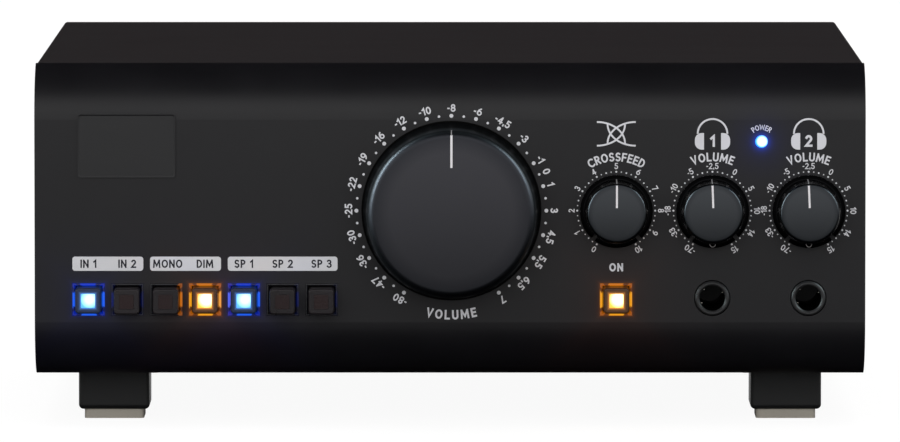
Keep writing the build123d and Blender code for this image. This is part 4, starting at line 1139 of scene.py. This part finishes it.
def jack_details():
    """Black sleeves in the headphone sockets, painted shade that keeps the bores dark, with the tips of their
    springs just inside.
    """
    shade_sleeve = bmesh.new()
    springs = bmesh.new()
    near, far = (jack_front + y for y in shade_sleeve_ends)
    for axis in phones_axes.values():
        arc_band(shade_sleeve, axis.x, jack_z, jack_bore_radius - shade_sleeve_wall, jack_bore_radius - 0.01, 0, 360,
                 near, far, steps=32)
        for angle in spring_angles:
            x, z = around(Vector((axis.x, 0, jack_z)), spring_circle, angle)
            place = Matrix.Translation((x, jack_front + spring_depth, z))
            bmesh.ops.create_icosphere(springs, subdivisions=2, radius=spring_tip_radius, matrix=place)
    piece("jack_shade_sleeves", shade_sleeve, painted_shade_black, "case")
    piece("jack_springs", springs, nickel, "case")


skirt_front = panel_y - 3.5
grub_drop = 8.25             # painted glint, at a grub screw's mouth below the knob's axis
grub_glint_radii = (0.62, 0.8)


def screw_rims():
    """Bright half rings at the grub screws' mouths in the skirts of the two headphone knobs: painted glints.
    """
    for name, axis in phones_axes.items():
        shape = bmesh.new()
        arc_band(shape, axis.x, axis.z - grub_drop, *grub_glint_radii, 95, 170, skirt_front - 0.03,
                 skirt_front + 0.05, steps=14)
        piece(name + "_screw_glint", shape, glint_metal, name + "_control")


xlr_pitch = 30.0
xlr_flange_width = 26.0
xlr_mouth = rear_y + 2.4
xlr_floor = xlr_mouth - 13.0
xlr_contact_circle = 3.55
xlr_contact_turn = 30.0
xlr_pin_radius = 1.23
xlr_sleeve_radii = (1.0, 1.33)


def contact_spots(node, count, turn):
    """Places of the three contacts of each socket in a row."""
    first = box(node)[0].x + xlr_flange_width / 2
    z = middle(node).z
    angles = [radians(turn + i * 120) for i in range(3)]
    return [(first + k * xlr_pitch + xlr_contact_circle * cos(angle), z + xlr_contact_circle * sin(angle))
            for k in range(count) for angle in angles]


def xlr_contacts():
    """Gilt pins of the outputs, rounded at their tips, and gilt sleeves in the inputs."""
    shape = bmesh.new()
    tip = xlr_mouth - 1.98
    inner, outer = xlr_sleeve_radii
    pin = [(0.01, xlr_floor + 0.1), (xlr_pin_radius, xlr_floor + 0.1), (xlr_pin_radius, tip - 0.6),
           (0.95, tip - 0.15), (0.5, tip), (0.01, tip)]
    sleeve = [(inner, xlr_mouth - 9.0), (outer, xlr_mouth - 9.0), (outer, xlr_mouth - 0.5),
              (inner, xlr_mouth - 0.9)]
    for x, z in contact_spots("xlr_outputs", 4, xlr_contact_turn):
        turned(shape, x, z, pin, steps=20)
    for x, z in contact_spots("xlr_inputs", 2, xlr_contact_turn + 180):
        turned(shape, x, z, sleeve, steps=20)
    piece("xlr_contacts", shape, gilt, "case")


phono_tip = box("phono_sockets")[1].y
phono_nut_radius = 6.15
phono_pitch_x = 20.0
phono_pitch_z = 15.0
phono_x = box("phono_sockets")[0].x + phono_nut_radius
phono_z = middle("phono_sockets").z - phono_pitch_z / 2
phono_colours = (("red", (0.42, 0.012, 0.010)), ("white", (0.62, 0.61, 0.58)))     # from the lower row up

# Halves of the sections through a phono socket: distance off its axis and y.
phono_shell = [(3.65, phono_tip - 8.0), (3.65, phono_tip - 0.1), (3.75, phono_tip), (3.95, phono_tip),
               (4.15, phono_tip - 0.2), (4.15, rear_y - 12.0), (0.8, rear_y - 12.0), (0.8, phono_tip - 8.0)]
phono_collar = [(4.0, rear_y + 2.1), (5.4, rear_y + 2.1), (5.1, rear_y + 2.5), (4.0, rear_y + 2.5)]
phono_insulator = [(1.6, phono_tip - 0.5), (3.4, phono_tip - 0.5), (3.64, phono_tip - 0.8),
                   (3.64, phono_tip - 7.9), (1.6, phono_tip - 7.9)]
phono_contact = [(1.15, phono_tip - 1.2), (1.58, phono_tip - 0.9), (1.58, phono_tip - 7.8),
                 (1.15, phono_tip - 7.8)]


def phonos():
    """Plated shells with hexagon feet, coloured insulators and gilt centre contacts."""
    shells = bmesh.new()
    contacts = bmesh.new()
    for row, (colour, tone) in enumerate(phono_colours):
        insulators = bmesh.new()
        for column in range(2):
            x, z = phono_x + column * phono_pitch_x, phono_z + row * phono_pitch_z
            turned(shells, x, z, phono_shell)
            rod(shells, x, z, phono_nut_radius, rear_y, rear_y + 2.2, segments=6)
            turned(shells, x, z, phono_collar)
            turned(insulators, x, z, phono_insulator)
            turned(contacts, x, z, phono_contact, steps=20)
        piece("phono_insulators_" + colour, insulators, plastic_finish(colour + "_insulator", tone, 0.30),
              "case")
    piece("phono_shells", shells, nickel, "case", replaces=("phono_sockets",))
    piece("phono_contacts", contacts, gilt, "case")


inlet = middle("mains_inlet")
inlet_socket_z = inlet.z + 5.5
inlet_floor = box("mains_inlet")[1].y - 17.0
blade_spots = ((0.0, 4.0), (-7.0, 0.0), (7.0, 0.0))
sheath_width, sheath_height = 2.06, 4.06
sheath_ends = (0.1, 13.03)   # out from the floor of the inlet's well


def inlet_blades():
    """Plated sheaths of the three mains blades."""
    shape = bmesh.new()
    near, far = (inlet_floor + y for y in sheath_ends)
    for x, z in blade_spots:
        tile(shape, inlet.x + x, inlet_socket_z + z, sheath_width, sheath_height, near, far, corner=0.3,
             segments=2)
    piece("inlet_blades", shape, nickel, "case")


rocker_spot = middle("power_switch")
rocker_pivot_y = rear_y - 1.0
rocker_tilt = 8.0
rocker_half_length = 8.2     # each half rises by 1 over this length
rocker_slope = degrees(atan2(1.0, rocker_half_length))
rocker_hollow = 1.8          # from the pivot to the middle of the rocker's face
mark_reach = 4.6
mark_height = 3.2


def rocker_marks():
    """Off and on marks printed on the two slopes of the mains rocker."""
    shape = bmesh.new()
    pivot = (Matrix.Translation((rocker_spot.x, rocker_pivot_y, rocker_spot.z))
             @ Matrix.Rotation(radians(-rocker_tilt), 4, "X"))
    out = rocker_hollow + mark_reach / rocker_half_length
    for mark, side in (("I", 1), ("O", -1)):
        face = (pivot @ Matrix.Translation((0, out, side * mark_reach))
                @ Matrix.Rotation(radians(-side * rocker_slope), 4, "X") @ Matrix.Rotation(pi, 4, "Z"))
        letters(shape, mark, mark_height, 0.0, 0.0, weight=0.16, face=face)
    piece("rocker_marks", shape, print_white, "power_rocker")


name_rise = 2.9              # names above the upper row of sockets
name_drop = 1.85             # names between the two rows
power_name_rise = 13.0


def rear_print():
    """Names of the sockets, as they are read from behind."""
    shape = bmesh.new()
    outputs = middle("xlr_outputs")
    upper, lower = box("xlr_outputs")[1].z + name_rise, box("xlr_outputs")[0].z - name_drop
    words = [("SP 1", outputs.x - xlr_pitch, upper), ("SP 2", outputs.x + xlr_pitch, upper),
             ("IN 1", outputs.x - xlr_pitch, lower), ("IN 2", phono_x, lower),
             ("SP 3", phono_x + phono_pitch_x, lower),
             ("L", phono_x + phono_pitch_x / 2, phono_z + phono_pitch_z),
             ("R", phono_x + phono_pitch_x / 2, phono_z),
             ("POWER", rocker_spot.x, rocker_spot.z + power_name_rise)]
    for text, x, z in words:
        letters(shape, text, word_height, -x, z, face=rear_face)
    piece("rear_lettering", shape, print_white, "case")


# ---------------------------------------------------------------- studio


def stage_piece(name, shape, finish):
    made = finished(name, shape, finish)
    return made


def floor():
    shape = bmesh.new()
    bmesh.ops.create_grid(shape, x_segments=1, y_segments=1, size=30000.0)
    stage_piece("floor", shape, floor_finish())


def only_in_reflections(made):
    made.visible_camera = False
    made.visible_diffuse = False
    made.visible_transmission = False
    made.visible_volume_scatter = False
    made.visible_shadow = False


flag_radius = 2400.0
flag_half_width = 3200.0
flag_centre_z = 50.0
flag_front_rise = 42.0       # degrees above the horizon where the overhead flag begins in front
floor_flag_width = 3600.0
floor_flag_depth = 470.0


def flags():
    """Black cards over and in front of the object, seen only by its reflections."""
    cloth = flag_finish()
    shape = bmesh.new()
    start = Matrix.Rotation(-radians(flag_front_rise), 3, "X") @ Vector((0, -flag_radius, 0))
    ends = [shape.verts.new((x, start.y, start.z + flag_centre_z))
            for x in (-flag_half_width, flag_half_width)]
    edge = shape.edges.new(ends)
    bmesh.ops.spin(shape, geom=ends + [edge], cent=(0, 0, flag_centre_z), axis=(1, 0, 0), dvec=(0, 0, 0),
                   angle=-radians(180 - flag_front_rise), steps=24, use_duplicate=False)
    only_in_reflections(stage_piece("overhead_flag", shape, cloth))
    shape = bmesh.new()
    tile(shape, 0.0, 0.5, floor_flag_width, 0.5, panel_y - floor_flag_depth, panel_y + 60.0)
    only_in_reflections(stage_piece("floor_flag", shape, cloth))


def strip_light(name, spot, target, width, height, radiance, roll):
    """Cool softbox of that brightness that lights what the collection holds, in reflections alone."""
    lamp = bpy.data.lights.new(name, "AREA")
    lamp.shape = "RECTANGLE"
    lamp.size = width * MM
    lamp.size_y = height * MM
    lamp.energy = radiance * pi * lamp.size * lamp.size_y
    lamp.color = (0.78, 0.95, 0.98)
    made = placed(name, lamp)
    made.location = Vector(spot) * MM
    made.rotation_euler = (Vector(target) * MM - made.location).to_track_quat("-Z", "Y").to_euler()
    made.rotation_euler.rotate_axis("Z", radians(roll))
    made.visible_camera = False
    made.visible_diffuse = False
    made.light_linking.receiver_collection = strip_catchers


def glow_lamp(name, x, y, z, colour, power):
    """The small light that a lit button or lamp throws on what is round it."""
    lamp = bpy.data.lights.new(name, "POINT")
    lamp.energy = power
    lamp.color = colour
    lamp.shadow_soft_size = 0.6 * MM
    made = placed(name, lamp)
    made.location = Vector((x, y, z)) * MM
    made.visible_camera = False
    made.visible_glossy = False


def soft_sun(name, strength, rise, heading, spread):
    """Even light from one side of the sky, which no reflection shows; angles in degrees."""
    sun = bpy.data.lights.new(name, "SUN")
    sun.energy = strength
    sun.angle = radians(spread)
    made = placed(name, sun)
    made.rotation_euler = (radians(90 - rise), 0.0, radians(heading))
    made.visible_glossy = False


strip_catchers = bpy.data.collections.new("strip_catchers")
strip_x, strip_y = 920.0, -400.0
strip_roll = 18.0            # degrees, tops leaning in


def lamps():
    soft_sun("front_light", 1.95, 12.0, -3.0, 60.0)
    soft_sun("top_light", 1.0, 72.0, -6.0, 50.0)
    soft_sun("rear_light", 1.1, 30.0, 165.0, 40.0)
    for name in ("volume_knob", "crossfeed_knob", "phones_1_knob", "phones_2_knob", "phones_1_jack",
                 "phones_2_jack"):
        strip_catchers.objects.link(frame["nodes"][name])
    knob = (0.0, panel_y, volume_axis.z)
    strip_light("left_strip", (-strip_x, strip_y, 520.0), knob, 260.0, 840.0, 26.0, strip_roll)
    strip_light("right_strip", (strip_x, strip_y, 640.0), knob, 210.0, 680.0, 19.0, -strip_roll)
    for name in lit_buttons:
        spot = button_spots[name]
        colour = (0.06, 0.22, 1.0) if name in blue_buttons else (1.0, 0.40, 0.04)
        glow_lamp(name + "_glow", spot.x, button_faces[name] - 1.2, spot.z, colour, 0.0025)
    glow_lamp("power_glow", lamp_axis.x, panel_y - 1.6, lamp_axis.z, (0.03, 0.12, 1.0), 0.0004)


def world():
    """White all round for what is seen, and a plainer level for the light that it gives."""
    made = bpy.data.worlds.new("studio")
    bpy.context.scene.world = made
    tree, surface = cleared(made, "OutputWorld")
    level = ranged(tree, shown_rays(tree), 0.0, 1.0, 0.42, 1.0)
    sky = add(tree, "Background", {"Color": (1.0, 1.0, 1.0), "Strength": level})
    feed(tree, surface, sky.outputs[0])


def camera():
    lens = bpy.data.cameras.new("view")
    lens.sensor_width = sensor_width
    lens.lens = camera_lens
    lens.clip_end = 200.0
    made = placed("view", lens)
    made.location = Vector((0.0, panel_y - camera_distance, camera_height)) * MM
    made.rotation_euler = (radians(90 - camera_pitch), 0.0, 0.0)
    bpy.context.scene.camera = made


# ---------------------------------------------------------------- dressing the solids

slot_finishes = {
    "panel_coat": panel_finish(),
    "cover_coat": cover_finish(),
    "foot_plastic": plastic_finish("foot_plastic", (0.0095, 0.0098, 0.0102), 0.48, specular=0.4),
    "pad_rubber": plastic_finish("pad_rubber", (0.42, 0.39, 0.335), 0.75, scale=1800.0, depth=0.03),
    "screw_steel": metal_finish("black_zinc", (0.10, 0.10, 0.105), 0.38),
    "board": board_finish(),
    "brass_plate": metal_finish("turned_brass", (0.60, 0.47, 0.24), 0.30),
    "header_plastic": plastic_finish("header_plastic", (0.015, 0.015, 0.016), 0.45),
    "ribbon_grey": ribbon_finish(),
    "capacitor_can": plastic_finish("capacitor_sleeve", (0.02, 0.025, 0.045), 0.28),
    "winding": winding_finish(),
    "pot_case": metal_finish("plated_case", (0.45, 0.45, 0.44), 0.32),
    "knob_satin": knob_finish(),
    "knob_black": small_knob_finish("crossfeed", crossfeed_axis),
    "clear_collar": plastic_finish("clear_plastic", (0.05, 0.05, 0.055), 0.12),
    "cap_grey": cap_finish("tinted_cap"),
    "socket_metal": plastic_finish("black_die_cast", (0.0070, 0.0070, 0.0076), 0.30, specular=0.30),
    "phono_metal": nickel,
}

node_finishes = {
    "badge_plate": brushed_finish("badge_metal", (0.0125, 0.0125, 0.0140)),
    "power_light": window_finish("power_lens", lamp_axis, (0.6, 0.9, 1.0), (0.02, 0.20, 0.9),
                                 reach=(0.75, 1.5), lean=0.1),
}
for name, axis in phones_axes.items():
    node_finishes[name + "_knob"] = small_knob_finish(name, axis)
for name in lit_buttons:
    light = (0.10, 0.30, 0.80) if name in blue_buttons else (0.90, 0.33, 0.05)
    node_finishes[name + "_button"] = cap_finish(name + "_cap", button_spots[name], light)


def dress_solids():
    for name, made in frame["nodes"].items():
        slot = made.data.materials[0].name.split(".")[0]
        finish = node_finishes.get(name) or slot_finishes[slot]
        for i in range(len(made.data.materials)):
            made.data.materials[i] = finish


dress_solids()
panel_print()
label_bars()
badge_rim()
pointers()
knob_washer()
collars()
windows()
jack_details()
screw_rims()
xlr_contacts()
phonos()
inlet_blades()
rocker_marks()
rear_print()
floor()
flags()
lamps()
world()
camera()
bpy.context.scene.view_settings.view_transform = "Standard"
